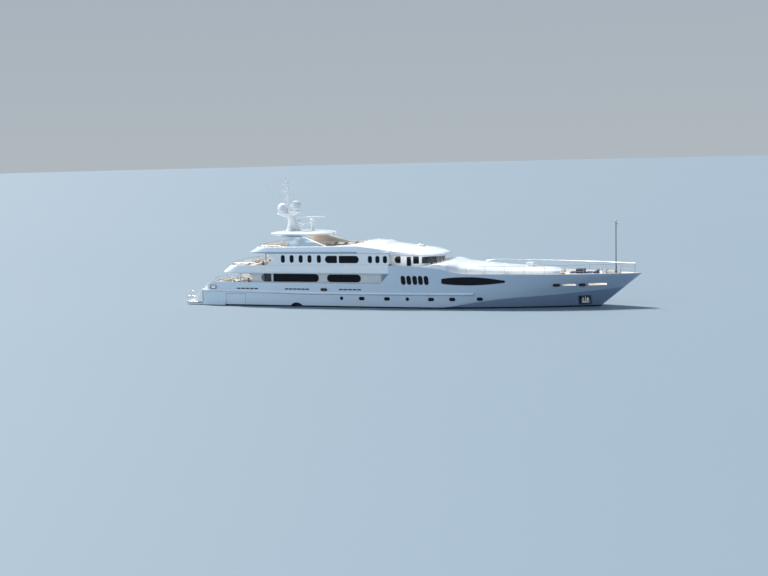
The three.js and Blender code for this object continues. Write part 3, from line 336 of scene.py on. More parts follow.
def column(table, k):
    """The table's x with its k-th column."""
    return [(row[0], row[k]) for row in table]


def eased_row(table, x):
    """Every column of a table after its first, read at x."""
    return [eased(column(table, k), x) for k in range(1, len(table[0]))]


# Materials


class Shader:
    """A Principled material built from a few procedural layers."""

    def __init__(self, name, colour, roughness, **sockets):
        self.material = bpy.data.materials.new(name)
        self.material.use_nodes = True
        self.tree = self.material.node_tree
        self.shader = self.tree.nodes["Principled BSDF"]
        self.shader.inputs["Base Color"].default_value = (*colour, 1)
        self.shader.inputs["Roughness"].default_value = roughness
        for socket, value in sockets.items():
            self.shader.inputs[socket.replace("_", " ")].default_value = value
        self.place = self.node("TexCoord").outputs["Object"]
        self.colour = None
        self.base = (*colour, 1)

    def node(self, kind, **settings):
        node = self.tree.nodes.new("ShaderNode" + kind)
        for key, value in settings.items():
            setattr(node, key, value)
        return node

    def link(self, output, target):
        self.tree.links.new(output, target)

    def scaled(self, scale):
        """The object's coordinates, stretched by scale along each axis."""
        mapping = self.node("Mapping")
        mapping.inputs["Scale"].default_value = scale
        self.link(self.place, mapping.inputs["Vector"])
        return mapping.outputs["Vector"]

    def noise(self, scale, detail=4, stretch=(1, 1, 1)):
        noise = self.node("TexNoise")
        noise.inputs["Scale"].default_value = scale
        noise.inputs["Detail"].default_value = detail
        self.link(self.scaled(stretch), noise.inputs["Vector"])
        return noise.outputs["Fac"]

    def ramp(self, value, low, high, bottom=0, top=1):
        """The value, spread from low..high to bottom..top."""
        spread = self.node("MapRange")
        for socket, number in zip(("From Min", "From Max", "To Min", "To Max"), (low, high, bottom, top)):
            spread.inputs[socket].default_value = number
        self.link(value, spread.inputs["Value"])
        return spread.outputs["Result"]

    def tint(self, mask, colour):
        """Lays a colour over what is there, where the mask is 1."""
        mix = self.node("MixRGB")
        mix.inputs["Color1"].default_value = self.base
        if self.colour is not None:
            self.link(self.colour, mix.inputs["Color1"])
        mix.inputs["Color2"].default_value = (*colour, 1)
        self.link(mask, mix.inputs["Fac"])
        self.colour = mix.outputs["Color"]
        self.link(self.colour, self.shader.inputs["Base Color"])
        return self

    def rough(self, value, low, high):
        """Lets the roughness run from low to high with a value."""
        self.link(self.ramp(value, 0.3, 0.7, low, high), self.shader.inputs["Roughness"])
        return self

    def relief(self, height, strength, distance=0.002):
        """Adds a bump on top of those that are there already."""
        bump = self.node("Bump")
        bump.inputs["Strength"].default_value = strength
        bump.inputs["Distance"].default_value = distance
        self.link(height, bump.inputs["Height"])
        previous = self.shader.inputs["Normal"].links
        if previous:
            self.link(previous[0].from_socket, bump.inputs["Normal"])
        self.link(bump.outputs["Normal"], self.shader.inputs["Normal"])
        return self

    def maths(self, operation, first, second=0.0):
        node = self.node("Math", operation=operation)
        for socket, value in zip(node.inputs, (first, second)):
            if isinstance(value, (int, float)):
                socket.default_value = value
            else:
                self.link(value, socket)
        return node.outputs["Value"]

    def axis(self, letter):
        return self.split().outputs[letter]

    def split(self):
        split = self.node("SeparateXYZ")
        self.link(self.place, split.inputs["Vector"])
        return split


def gloss_paint(name, colour, shade, roughness=0.2):
    """Yacht enamel: clear coat, faint cloudiness, and dust that dulls it in patches."""
    paint = Shader(name, colour, roughness, Coat_Weight=0.5, Coat_Roughness=0.06, IOR=1.5)
    paint.tint(paint.ramp(paint.noise(0.55, 6), 0.35, 0.75, 0, 0.5), shade)
    paint.rough(paint.noise(2.2, 5), roughness * 0.75, roughness * 1.6)
    paint.relief(paint.noise(0.8, 1), 0.06, 0.02)
    return paint


def hull_paint(name, colour, shade):
    """The hull's enamel, with painted shade that darkens it towards the bow, streaks low down, its boot
    stripe, and antifouling below the waterline.
    """
    paint = gloss_paint(name, colour, shade, 0.16)
    z = paint.axis("Z")
    streaks = paint.noise(1, 5, (9, 9, 0.35))
    low = paint.ramp(z, 1.4 * SCALE, 0.1 * SCALE, 0, 1)
    # Painted shade: the topsides grow darker and bluer towards the bow.
    paint.tint(paint.ramp(paint.axis("X"), -16 * SCALE, 27 * SCALE, 0, 0.75), (0.19, 0.27, 0.4))
    paint.tint(paint.maths("MULTIPLY", paint.ramp(streaks, 0.5, 0.8, 0, 0.3), low), (0.5, 0.55, 0.55))
    edge = 0.002
    below = lambda level: paint.ramp(z, level * SCALE + edge, level * SCALE - edge, 0, 1)
    afore = paint.ramp(paint.axis("X"), -21.74 * SCALE, -21.7 * SCALE, 0, 1)
    paint.tint(paint.maths("MULTIPLY", below(0.17), afore), (0.012, 0.014, 0.018))
    paint.tint(below(0.06), (0.012, 0.014, 0.018))
    paint.tint(below(0.02), (0.02, 0.035, 0.075))
    return paint.material


def house_paint():
    return gloss_paint("house_enamel", (0.83, 0.865, 0.89), (0.78, 0.82, 0.85)).material


def inner_paint():
    # A cream lining, lighter and warmer than the house enamel: partly its own cream, partly painted bounce
    # light off the deck.
    return gloss_paint("cream_lining_painted_bounce", (0.93, 0.91, 0.87), (0.89, 0.87, 0.82), 0.35).material


# The deck's planks: their breadth in real metres, and where the caulking starts and ends, as shares of it
PLANK_WIDTH, CAULKING = 0.11, (0.055, 0.035)


def deck_teak():
    """Planks laid fore and aft, each its own tone, with dark caulking between."""
    teak = Shader("deck_teak", (0.68, 0.57, 0.44), 0.6)
    across = teak.maths("DIVIDE", teak.axis("Y"), PLANK_WIDTH * SCALE)
    plank = teak.maths("FLOOR", across)
    tone = teak.node("TexWhiteNoise", noise_dimensions="1D")
    teak.link(plank, tone.inputs["W"])
    teak.tint(teak.ramp(tone.outputs["Value"], 0, 1, 0, 0.55), (0.76, 0.66, 0.53))
    grain = teak.noise(6, 6, (1, 22, 6))
    teak.tint(teak.ramp(grain, 0.45, 0.75, 0, 0.35), (0.52, 0.42, 0.31))
    weather = teak.noise(0.7, 4)
    teak.tint(teak.ramp(weather, 0.4, 0.7, 0, 0.5), (0.74, 0.68, 0.6))
    seam = teak.ramp(teak.maths("PINGPONG", across, 0.5), *CAULKING, 0, 1)
    teak.tint(seam, (0.03, 0.03, 0.03))
    teak.relief(grain, 0.25, 0.001)
    teak.relief(teak.maths("SUBTRACT", 1.0, seam), 0.4, 0.002)
    return teak.material


def dark_glass():
    """Tinted panes, near black with a breath of blue."""
    pane = Shader("tinted_panes", (0.004, 0.005, 0.008), 0.08, IOR=1.28)
    pane.tint(pane.ramp(pane.noise(0.6, 2), 0.4, 0.7, 0, 0.6), (0.008, 0.01, 0.018))
    pane.rough(pane.noise(3, 3), 0.05, 0.12)
    return pane.material


def clear_glass(name, colour, through):
    """Panes that let the far side show."""
    pane = Shader(name, colour, 0.04, IOR=1.45, Transmission_Weight=through)
    pane.rough(pane.noise(3, 3), 0.02, 0.07)
    pane.tint(pane.ramp(pane.noise(0.9, 3), 0.4, 0.8, 0, 0.25), tuple(0.8 * c for c in colour))
    return pane.material


def steel():
    metal = Shader("polished_steel", (0.56, 0.57, 0.58), 0.35, Metallic=0.85)
    metal.rough(metal.noise(24, 4, (1, 1, 6)), 0.26, 0.44)
    metal.tint(metal.ramp(metal.noise(9, 4), 0.5, 0.8, 0, 0.3), (0.55, 0.56, 0.57))
    return metal.material


def bronze():
    metal = Shader("bronze", (0.62, 0.4, 0.18), 0.3, Metallic=1)
    metal.tint(metal.ramp(metal.noise(7, 6), 0.45, 0.7, 0, 0.7), (0.3, 0.22, 0.12))
    metal.rough(metal.noise(14, 4), 0.22, 0.5)
    metal.relief(metal.noise(30, 3), 0.15)
    return metal.material


def moulded(name, colour, shade, roughness=0.4):
    """Gel coat or moulded plastic with a fine orange peel."""
    skin = Shader(name, colour, roughness, Coat_Weight=0.15)
    skin.tint(skin.ramp(skin.noise(2.5, 5), 0.4, 0.75, 0, 0.6), shade)
    skin.rough(skin.noise(7, 4), roughness * 0.8, roughness * 1.3)
    skin.relief(skin.noise(90, 2), 0.06, 0.001)
    return skin.material


def fabric(name, colour, shade):
    """Woven outdoor cloth: two crossed threads, soft folds of tone and a sheen."""
    cloth = Shader(name, colour, 0.85, Sheen_Weight=0.35, Sheen_Roughness=0.5)
    threads = []
    for letter in "XY":
        wave = cloth.node("TexWave", bands_direction=letter)
        wave.inputs["Scale"].default_value = 110
        wave.inputs["Distortion"].default_value = 0.6
        cloth.link(cloth.place, wave.inputs["Vector"])
        threads.append(wave.outputs["Fac"])
    weave = cloth.maths("MULTIPLY", *threads)
    cloth.tint(cloth.ramp(weave, 0, 1, 0, 0.35), shade)
    cloth.tint(cloth.ramp(cloth.noise(3, 5), 0.4, 0.75, 0, 0.4), shade)
    cloth.relief(weave, 0.35, 0.001)
    return cloth.material


M = {
    # The white topsides are painted blue-grey: painted shade.
    "hull": hull_paint("hull_enamel_painted_shade", (0.65, 0.75, 0.83), (0.61, 0.72, 0.8)),
    # Painted shade: the flare below the chine forward is painted dark, as it faces down.
    "flare_shade": hull_paint("flare_painted_shade", (0.22, 0.28, 0.35), (0.2, 0.26, 0.33)),
    "house": house_paint(),
    "inner": inner_paint(),
    # Painted shade: a dark blue-grey for the arch legs' outer faces and the ends of the recess under the
    # bridge deck's wing.
    "painted_shade": gloss_paint("arch_painted_shade", (0.19, 0.27, 0.33), (0.17, 0.25, 0.31)).material,
    # Painted light: a brighter, warmer white than the house enamel, for the masts, radar stand, wheelhouse
    # walls, stern steps and the stern bulwarks' aft faces, so that they read as lit.
    "pale": gloss_paint("white_painted_light", (0.96, 0.95, 0.92), (0.93, 0.92, 0.9), 0.3).material,
    # Painted shade: a blue-grey for the sun deck band's sides.
    "band": gloss_paint("band_painted_shade", (0.54, 0.64, 0.73), (0.51, 0.61, 0.7)).material,
    "teak": deck_teak(),
    "glass": dark_glass(),
    "see_through": clear_glass("wheelhouse_panes", (0.2, 0.25, 0.29), 0.85),
    "smoke_glass": clear_glass("smoked_panes", (0.07, 0.08, 0.09), 0.4),
    "green_glass": clear_glass("windbreak_panes", (0.3, 0.46, 0.42), 0.45),
    "steel": steel(),
    "bronze": bronze(),
    "rubber": moulded("black_rubber", (0.02, 0.02, 0.022), (0.045, 0.045, 0.045), 0.55),
    "dark": moulded("dark_enamel", (0.05, 0.055, 0.065), (0.09, 0.09, 0.1), 0.35),
    # Painted shadow: near black for the insides of openings and the sheets behind them.
    "shadow": moulded("opening_painted_shadow", (0.012, 0.013, 0.016), (0.02, 0.02, 0.024), 0.7),
    "below": moulded("antifouling", (0.02, 0.035, 0.075), (0.035, 0.05, 0.09), 0.5),
    "navy_shell": moulded("navy_gelcoat", (0.02, 0.028, 0.06), (0.04, 0.05, 0.09), 0.35),
    "cream_shell": moulded("cream_gelcoat", (0.82, 0.76, 0.64), (0.72, 0.66, 0.55), 0.4),
    "dome": moulded("dome_gelcoat", (0.86, 0.87, 0.88), (0.78, 0.8, 0.82), 0.3),
    "grey": moulded("grey_deck_paint", (0.5, 0.52, 0.54), (0.42, 0.44, 0.46), 0.6),
    "cream": fabric("cream_cloth", (0.78, 0.73, 0.63), (0.66, 0.6, 0.5)),
    "navy": fabric("navy_cloth", (0.025, 0.035, 0.13), (0.05, 0.06, 0.18)),
}


def paint_faces(obj, keys, rule):
    """Gives each face the material that rule(centre, normal) names, or the first; centres are real metres."""
    for face in obj.data.polygons:
        face.material_index = keys.index(rule(face.center / SCALE, face.normal) or keys[0])


def piece(obj, name, materials, on="root", instead=(), sharp=30, rule=None):
    """Finishes a loose body as a named piece of the yacht. Materials are one key of M or a list of them."""
    obj.name = obj.data.name = name
    obj.data.materials.clear()
    for key in ([materials] if isinstance(materials, str) else materials):
        obj.data.materials.append(M[key])
    if rule:
        paint_faces(obj, materials, rule)
    obj.data.shade_smooth()
    obj.data.set_sharp_from_angle(angle=math.radians(sharp))
    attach(obj, on)
    if instead:
        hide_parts(*instead)
    return obj


# Hull form


def stem_x(z):
    """How far forward the stem reaches at a height."""
    if z >= 0:
        return STEM_WATERLINE_X + (BOW_X - STEM_WATERLINE_X) * min(z, BOW_Z) / BOW_Z
    depth = -z / CANOE_DEPTH
    return STEM_WATERLINE_X - 2.65 * depth - 3.5 * depth ** 2.5


def section(x):
    """Half-breadths and heights of one section, named by its x at the sheer."""
    fore = max(0, (x - ENTRANCE_X) / (BOW_X - ENTRANCE_X))
    aft = max(0, (ENTRANCE_X - x) / (ENTRANCE_X - TRANSOM_X)) ** 2.5 * STERN_NARROWING
    run = max(0, (RUN_START_X - x) / (RUN_START_X - TRANSOM_X))
    return {
        "sheer": (HALF_BEAM * (1 - fore ** 2.6) - aft, between(SHEER, x)),
        "chine": (CHINE_HALF_BEAM * (1 - fore ** 2) - aft, eased(CHINE, fore)),
        "waterline": WATERLINE_HALF_BEAM * (1 - fore ** 1.7) - aft,
        "keel": -CANOE_DEPTH + STERN_RISE * run ** 2,
        "fullness": 2 / (2.6 - 1.35 * fore),
    }


BELOW_ANGLES = [90, 80, 70, 61, 52, 43, 34, 25, 17, 11, 6, 2, 0]
ABOVE_STEPS = [k / 12 for k in range(13)]


def side_points(x, inset, rise):
    """The hull's half section at a station, from the keel up to the sheer."""
    form = section(x)
    points = []
    for angle in BELOW_ANGLES:
        turn = math.radians(angle)
        out = max(0.0, math.cos(turn)) ** form["fullness"]
        points.append((KEEL_HALF + (form["waterline"] - KEEL_HALF) * out,
                       form["keel"] * math.sin(turn) ** form["fullness"]))
    (chine_y, chine_z), (sheer_y, sheer_z) = form["chine"], form["sheer"]
    for s in ABOVE_STEPS:
        points.append((chine_y + (sheer_y - chine_y) * s ** 1.3, chine_z + (sheer_z - chine_z) * s))
    if rise:
        points.append((sheer_y, sheer_z + rise))
    placed = []
    for y, z in points:
        reach = (stem_x(z) - ENTRANCE_X) / (BOW_X - ENTRANCE_X)
        at = ENTRANCE_X + (x - ENTRANCE_X) * reach if x > ENTRANCE_X else x
        placed.append((at, max(STEM_HALF, y - inset), z))
    return placed


HULL_STATIONS = [
    *np.linspace(TRANSOM_X, -3, 60), *np.linspace(-2.75, 3, 24)[:-1], *np.linspace(3, 24, 80)[:-1],
    *np.linspace(24, BOW_X, 20),
]


def hull_form(inset=0.0, rise=0.0):
    rings = []
    for x in HULL_STATIONS:
        port = side_points(float(x), inset, rise)
        rings.append([(px, -y, z) for px, y, z in reversed(port)] + port)
    return loft(rings, paired=True)


def breadth_at(x, z):
    """Half-breadth of the topsides at a point above the chine."""
    reach = (stem_x(z) - ENTRANCE_X) / (BOW_X - ENTRANCE_X)
    form = section(ENTRANCE_X + (x - ENTRANCE_X) / reach if x > ENTRANCE_X else x)
    (chine_y, chine_z), (sheer_y, sheer_z) = form["chine"], form["sheer"]
    s = min(1, max(0, (z - chine_z) / (sheer_z - chine_z)))
    return chine_y + (sheer_y - chine_y) * s ** 1.3


def deck_height(x):
    """Height of the sloping foredeck."""
    return between(FOREDECK, x)


def chine_points():
    """Where the chine runs, as x and height."""
    points = []
    for x in np.linspace(ENTRANCE_X, BOW_X, 40):
        z = eased(CHINE, float(x - ENTRANCE_X) / (BOW_X - ENTRANCE_X))
        points.append((ENTRANCE_X + (x - ENTRANCE_X) * (stem_x(z) - ENTRANCE_X) / (BOW_X - ENTRANCE_X), z))
    return points


def upper_deck_line(lift):
    """The space above the walk and the foredeck, from the side."""
    (x0, z0), (x1, z1) = FOREDECK
    return [(-1.5, BRIDGE_DECK_Z + lift), (5.9, BRIDGE_DECK_Z + lift), (x0, z0 + lift), (x1, z1 + lift),
            (x1, 9), (-1.5, 9)]


# Openings in the topsides: x from, x to, z from, z to
FAIRLEADS = [(17.68, 18.48, 2.46, 2.82), (20.48, 21.22, 2.44, 2.78)]
MOORING_SLOTS = [(18.7, 20.2, 2.54, 2.78), (21.5, 23.5, 2.52, 2.78)]
ANCHOR_POCKET = (20.41, 21.68, 0.32, 1.29)
POCKET_FLOOR = 0.66
AFT_FAIRLEAD = (-23.67, -22.85, 1.98, 2.44)
MIDSHIP_HAWSE = (-9.38, -8.55, 1.9, 2.25)
SCUPPER_ROWS = [(-20.2, -17.34), (-13.96, -10.8), (-7.13, -4.32)]
SCUPPER_Z, SCUPPER_HEIGHT, SCUPPER_LENGTH = 2.1, 0.15, 0.5
# Portholes: x, z, length; all are 0.38 high
PORTHOLES = [(-6.79, 1.08, 0.38), (-4.31, 1.08, 0.68), (-1.24, 1.08, 0.68), (1.22, 1.08, 0.38),
             (4.02, 1.08, 0.68), (6.47, 1.1, 0.68), (9.6, 1.12, 0.68)]
PORTHOLE_HEIGHT = 0.38
# Slender upright windows forward: x, z from, z to; their tops lean aft
SLOT_WINDOWS = [(x, 2.76, 3.77) for x in (0.76, 1.44, 2.15, 2.82, 3.5)]
SLOT_WIDTH, SLOT_LEAN = 0.5, 0.1
# The long lens window: x, lower edge, upper edge
LENS = [(5.29, 2.93, 3.44), (5.6, 2.87, 3.49), (6.2, 2.81, 3.56), (7.4, 2.75, 3.63), (8.57, 2.73, 3.65),
        (9.8, 2.77, 3.59), (11, 2.86, 3.46), (12, 2.97, 3.31), (12.5, 3.03, 3.24)]
# The garage inside as a box; its opening in the transom by y and z, and those in the sides by x and z
GARAGE = (-24.2, -18.9, -4.3, 4.3, 0.12, 1.62)
TRANSOM_OPENING = (-2.4, 2.4, 0.5, 1.56)
SHELL_DOOR = (-21.55, -19.08, 0.15, 1.45)
# Where the steps to the platform run, on each side
STAIR_Y = (2.75, 4)
# The bow thruster's tunnel: x, z, radius; the exhaust's recess: x from, x to, top
THRUSTER = (16.6, -1.15, 0.42)
EXHAUST = (-13.36, -11.55, 0.5)


def lens_outline(grow=0.0):
    """Blunt with small corners aft, drawn out to a narrow round end forward."""
    ends = [(LENS[0][0], 0.07), (LENS[0][0] + 0.02, 0.02), (LENS[0][0] + 0.07, 0)]
    spans = [*ends, *[(float(x), 0) for x in np.linspace(LENS[0][0] + 0.3, LENS[-1][0] - 0.12, 36)],
             (LENS[-1][0] - 0.05, 0.015), (LENS[-1][0], 0.06)]
    row = lambda k, x: eased(column(LENS, k), x)
    lower = [(x, row(1, x) + cut - grow) for x, cut in spans]
    upper = [(x, row(2, x) - cut + grow) for x, cut in reversed(spans)]
    first, last = LENS[0][0], LENS[-1][0]
    return [(x - grow if x < first + 0.1 else x + grow if x > last - 0.1 else x, z) for x, z in lower + upper]


def window_outlines(grow=0.0):
    """Outlines of the panes set in the topsides, all alike on both sides."""
    outlines = [lens_outline(grow)]
    for x, z0, z1 in SLOT_WINDOWS:
        outlines.append(rounded(x - SLOT_WIDTH / 2 - grow, x + SLOT_WIDTH / 2 + grow, z0 - grow, z1 + grow,
                                SLOT_WIDTH / 2 + grow, lean=SLOT_LEAN))
    for x, z, length in PORTHOLES:
        outlines.append(rounded(x - length / 2 - grow, x + length / 2 + grow, z - PORTHOLE_HEIGHT / 2 - grow,
                                z + PORTHOLE_HEIGHT / 2 + grow, PORTHOLE_HEIGHT / 2 + grow))
    return outlines


def skin_band(outlines, outer, inner):
    """What lies between two insets of the hull's side, inside the outlines."""
    band = carve(hull_form(outer), hull_form(inner))
    return overlap(band, cutters(outlines))


def scuppers():
    slots = []
    low, high = SCUPPER_Z - SCUPPER_HEIGHT / 2, SCUPPER_Z + SCUPPER_HEIGHT / 2
    for start, end in SCUPPER_ROWS:
        count = round((end - start) / (SCUPPER_LENGTH + 0.07))
        pitch = (end - start) / count
        for k in range(count):
            x = start + pitch * (k + 0.5)
            slots.append(rounded(x - SCUPPER_LENGTH / 2, x + SCUPPER_LENGTH / 2, low, high, 0.06, 3))
    return slots


def rub_rail():
    stations = [(TRANSOM_X, 1.99), (-20, 1.92), (-15, 1.84), (-9.4, 1.77), (-4, 1.78), (2, 1.8), (8.89, 1.83)]
    rings = []
    for x in np.linspace(TRANSOM_X, 8.89, 70):
        top = eased(stations, float(x))
        skin = breadth_at(float(x), top)
        profile = [(-0.1, 0.01), (0.01, 0), (0.13, -0.13), (0.14, -0.16), (0.13, -0.2), (0.08, -0.27),
                   (0.02, -0.3), (-0.1, -0.3)]
        rings.append([(x, skin + dy, top + dz) for dy, dz in profile])
    return loft(rings)


def stern_corners(radius=1.0, start=-23.7, half=4.48):
    """What is cut from the bulwarks' aft ends above the rub rail, to round them in plan."""
    centre = half - radius
    corner = box(start - 1.5, start, centre, half + 0.6, 2, 3.4)
    post = rod((start, centre, 1.9), (start, centre, 3.5), radius, 96)
    return both(carve(corner, post))


# The bulwark's falling edge at the stern, seen from the side: x and height
STERN_EDGE = [
    (-26, 2), (TRANSOM_X, 2), (-24.6, 2.2), (-24.47, 2.36), (-24.32, 2.5), (-24.15, 2.63), (-23.95, 2.74),
    (-23.75, 2.81), (-23.5, MAIN_BULWARK_Z),
]
# The same edge where it wraps round the corner, from WING_Y outwards
WING_EDGE = [
    (-26, 2), (-24.7, 2), (-24.45, 2.18), (-24.2, 2.36), (-23.9, 2.53), (-23.6, 2.68), (-23.3, 2.8),
    (-23, 2.88),
]
WING_Y = 4.16
SKEG = [(-17, -1.4), (-16.2, -2.9), (-8, -2.9), (-5, -1.9)]
HAWSE_CORNER, FAIRLEAD_CORNER, SLOT_CORNER = 0.17, 0.2, 0.1


def air_over_hull():
    """What is cut away above the bulwarks and under the bridge deck."""
    under_slab = BRIDGE_SLAB_Z - GAP
    air = through([*STERN_EDGE, (-2, 2.8), (-1.04, under_slab), (BRIDGE_FRONT_X, under_slab),
                   (BRIDGE_FRONT_X, 9), (-26, 9)])
    return carve(air, box(-1.9, 0, -4.6, 4.6, 0, under_slab))


def bosses():
    """The stern tubes, and the bosses of the fins and rudders."""
    parts = []
    for side in (-1, 1):
        inner = SHAFT["tube_x"] + 3
        parts.append(rod((SHAFT["tube_x"], side * SHAFT["y"], shaft_z(SHAFT["tube_x"])),
                         (inner, side * SHAFT["y"], shaft_z(inner)), 0.17, 28))
        at = lambda d: (FIN["x"], side * (FIN["y"] + FIN["out"] * d), FIN["z"] - FIN["down"] * d)
        parts.append(rod(at(-0.5), at(0.06), 0.32, 32))
        parts.append(rod((RUDDER["x"], side * RUDDER["y"], -0.4),
                         (RUDDER["x"], side * RUDDER["y"], RUDDER["boss_z"]), 0.22, 28))
    return parts


def hull_openings():
    """Slots and fairleads, the garage with its doors, the thruster's tunnel, stairways and anchor pockets."""
    openings = [through(rounded(*slot, SLOT_CORNER)) for slot in MOORING_SLOTS]
    openings += [through(rounded(*lead, HAWSE_CORNER)) for lead in FAIRLEADS]
    openings += [box(*GARAGE), box(TRANSOM_X - 1, -23.8, *TRANSOM_OPENING)]
    x, z, radius = THRUSTER
    openings.append(rod((x, -4, z), (x, 4, z), radius, 40))
    for side in (-1, 1):
        across = lambda near, far: sorted((side * near, side * far))
        openings.append(box(TRANSOM_X - 1, -23.8, *across(*STAIR_Y), MAIN_DECK_Z, 5))
        openings.append(box(*SHELL_DOOR[:2], *across(4, 6), *SHELL_DOOR[2:]))
        openings.append(box(*ANCHOR_POCKET[:2], *across(POCKET_FLOOR, 3), *ANCHOR_POCKET[2:]))
    return openings


def hull_ports():
    """Holes through the bulwarks for lines and water."""
    return [rounded(*AFT_FAIRLEAD, FAIRLEAD_CORNER), rounded(*MIDSHIP_HAWSE, HAWSE_CORNER), *scuppers()]


def within(value, ends, slack=0.01):
    """Whether a value lies between two ends, or just outside."""
    return ends[0] - slack < value < ends[1] + slack


def hull_rule():
    """Names the paint of each face of the hull."""
    chine = chine_points()

    def rule(centre, normal):
        x, y, z = centre
        out, skin = abs(y), breadth_at(min(x, 26.9), max(z, 0.2))
        # Painted shade at the ends of the recess under the bridge deck's wing.
        recess_end = -1.95 < x < -1 and 4.5 < out < 4.7 or -2.1 < x < -0.9 and normal.x < -0.6
        if z > 2.75 and recess_end:
            return "painted_shade"
        # Painted highlight on the stern bulwarks' aft-facing ends.
        if x < -23.2 and z > 1.95 and (normal.x < -0.1 and normal.z > 0.1 or normal.x < -0.2):
            return "pale"
        # Painted highlight along the rub rail's upper face.
        if 1.6 < z < 2.02 and out > skin + 0.01 and normal.z > 0.4:
            return "house"
        # Near black inside the exhaust's recess: the dark paint round the outlet together with painted shadow
        # of the recess.
        exhaust = within(x, EXHAUST[:2]) and z < EXHAUST[2] + 0.01
        if exhaust and 3 < out < breadth_at(x, max(z, 0.05)) - 0.06:
            return "shadow"
        # Painted shadow on the anchor pocket's walls, and painted shade on its back.
        pocket = within(x, ANCHOR_POCKET[:2]) and within(z, ANCHOR_POCKET[2:])
        if pocket and POCKET_FLOOR - 0.01 < out < skin - 0.03:
            return "dark" if abs(normal.y) > 0.9 else "shadow"
        deck = abs(z - MAIN_DECK_Z) < 0.01 or x > -1 and z > 3.4 and abs(z - deck_height(x)) < 0.6
        if deck and normal.z > 0.9:
            return "teak"
        # The cream lining inside bulwarks, garage and mooring space, with its painted bounce light.
        lining = z > 3.5 and x > -1 or z > MAIN_DECK_Z - 0.01 and -23.95 < x < -1.85
        garage = within(x, GARAGE[:2], 0.1) and 0 < z < 1.7
        mooring = 17.2 < x < 24.2 and 2.3 < z < 3.4
        if out < skin - 0.12 and (lining or garage or mooring):
            return "inner"
        # Painted shade below the chine forward of the entrance.
        if x > ENTRANCE_X and z < between(chine, x) - 0.01 and abs(normal.y) > 0.1:
            return "flare_shade"
        return "hull"
    return rule


def hull():
    main_well = overlap(hull_form(HULL_WALL, 1), box(-23.9, -1.9, -6, 6, MAIN_DECK_Z, 8))
    fore_well = overlap(hull_form(0.15, 2), through(upper_deck_line(0)))
    mooring = overlap(hull_form(0.16), box(17.3, 24.1, -4, 4, 2.35, 3.3))
    skirt = overlap(hull_form(-0.07), box(TRANSOM_X, -21.7, -6, 6, -0.45, 0.5))
    skeg = bevel(side_prism(SKEG, -0.14, 0.14), 0.05)
    rails = rub_rail()
    form = carve(hull_form(), air_over_hull())
    form = unite(form, rails, mirror_y(rails), skirt, skeg, *bosses())
    form = carve(form, main_well, fore_well, mooring, *hull_openings())
    recess = cutters(window_outlines())
    exhaust = through(rounded(EXHAUST[0], EXHAUST[1], -1.4, EXHAUST[2], 0.85, 14))
    form = carve(form, carve(recess, hull_form(0.05)), carve(exhaust, hull_form(0.35)))
    wing_cut = both(side_prism([*WING_EDGE, (-23, 4), (-26, 4)], WING_Y, 6))
    form = carve(form, cutters(hull_ports()), stern_corners(), wing_cut)
    materials = ["hull", "teak", "inner", "shadow", "dark", "flare_shade", "painted_shade", "pale", "house"]
    piece(form, "hull_shell", materials, instead=["hull"], rule=hull_rule())


def hull_windows():
    """Panes sunk a little into the topsides, in slim proud frames."""
    panes = skin_band(window_outlines(), 0.035, 0.09)
    piece(panes, "hull_panes", "glass")
    rims = carve(skin_band(window_outlines(0.025), -0.01, 0.06), cutters(window_outlines(-0.012)))
    piece(rims, "hull_window_rims", "dark")


# Where the running gear stands under the hull
SHAFT = {"y": 1.9, "prop_x": -20.3, "prop_z": -2.2, "rise": 0.05, "radius": 0.09, "tube_x": -14.9}
RUDDER = {"x": -21.9, "y": 1.9, "top": -1.42, "foot": -2.85, "chord": 1.3, "thick": 0.2, "boss_z": -1.22}
FIN = {"x": 1.5, "y": 4.15, "z": -1.29, "out": 0.6, "down": 0.8, "span": 0.95, "chord": 1.6}


def shaft_z(x):
    return SHAFT["prop_z"] + (x - SHAFT["prop_x"]) * SHAFT["rise"]


# Decks and houses


def stern_outline(front, aft, half, curve=2.6, steps=26):
    """A deck's outline with a rounded stern, from the starboard front round to the port front."""
    arc = [(aft + curve * (1 - back), half * out) for back, out in half_round(STERN_SQUARENESS, steps)]
    return [(front, -half), *arc, (front, half)]


def bridge_band_top(x):
    return 4.89 + 0.17 * (x + 19.6) / 18.6


def sun_band_top(x):
    return 7.03 + 0.17 * (x + 17.3) / 12.5


def band(front, rows, low, top_of):
    """An overhang and bulwark in one. Columns of rows: share of the height, aft end, half-breadth."""
    return loft([[(x, y, low + share * (top_of(x) - low)) for x, y in stern_outline(front, aft, half)]
                 for share, aft, half in rows])


# The bridge deck's band from its slab up to its rim
BRIDGE_BAND = [
    (0, -22.1, 4.55), (0.04, -22.26, 4.65), (0.1, -22.37, 4.72), (0.17, -22.4, 4.75), (0.3, -22.24, 4.755),
    (0.6, -21.85, 4.745), (0.85, -21.54, 4.73), (0.95, -21.42, 4.72), (0.985, -21.37, 4.7), (1, -21.35, 4.66),
]
# The sun deck's band has a groove above its lower lip
SUN_BAND = [
    (0, -18.45, 4.58), (0.04, -18.56, 4.65), (0.1, -18.56, 4.65), (0.12, -18.5, 4.58), (0.19, -18.5, 4.58),
    (0.21, -18.74, 4.8), (0.25, -18.78, 4.83), (0.32, -18.7, 4.81), (0.6, -18.33, 4.69), (0.9, -18.05, 4.58),
    (0.97, -17.97, 4.55), (1, -17.94, 4.5),
]


def pillars(x, y, floor, top):
    return [rod((x, s * y, floor + GAP), (x, s * y, top), 0.1, 24) for s in (-1, 1)]


def deck_rule(deck_z, low, wall):
    """Teak underfoot, the cream lining with its painted bounce light on the inner faces, cream pillars, and
    the first material outside.
    """
    def rule(centre, normal):
        if normal.z > 0.9 and abs(centre.z - deck_z) < 0.02:
            return "teak"
        if centre.z < low - 0.02:
            return "cream_shell"
        return "inner" if centre.z > deck_z and wall(centre, normal) else None
    return rule


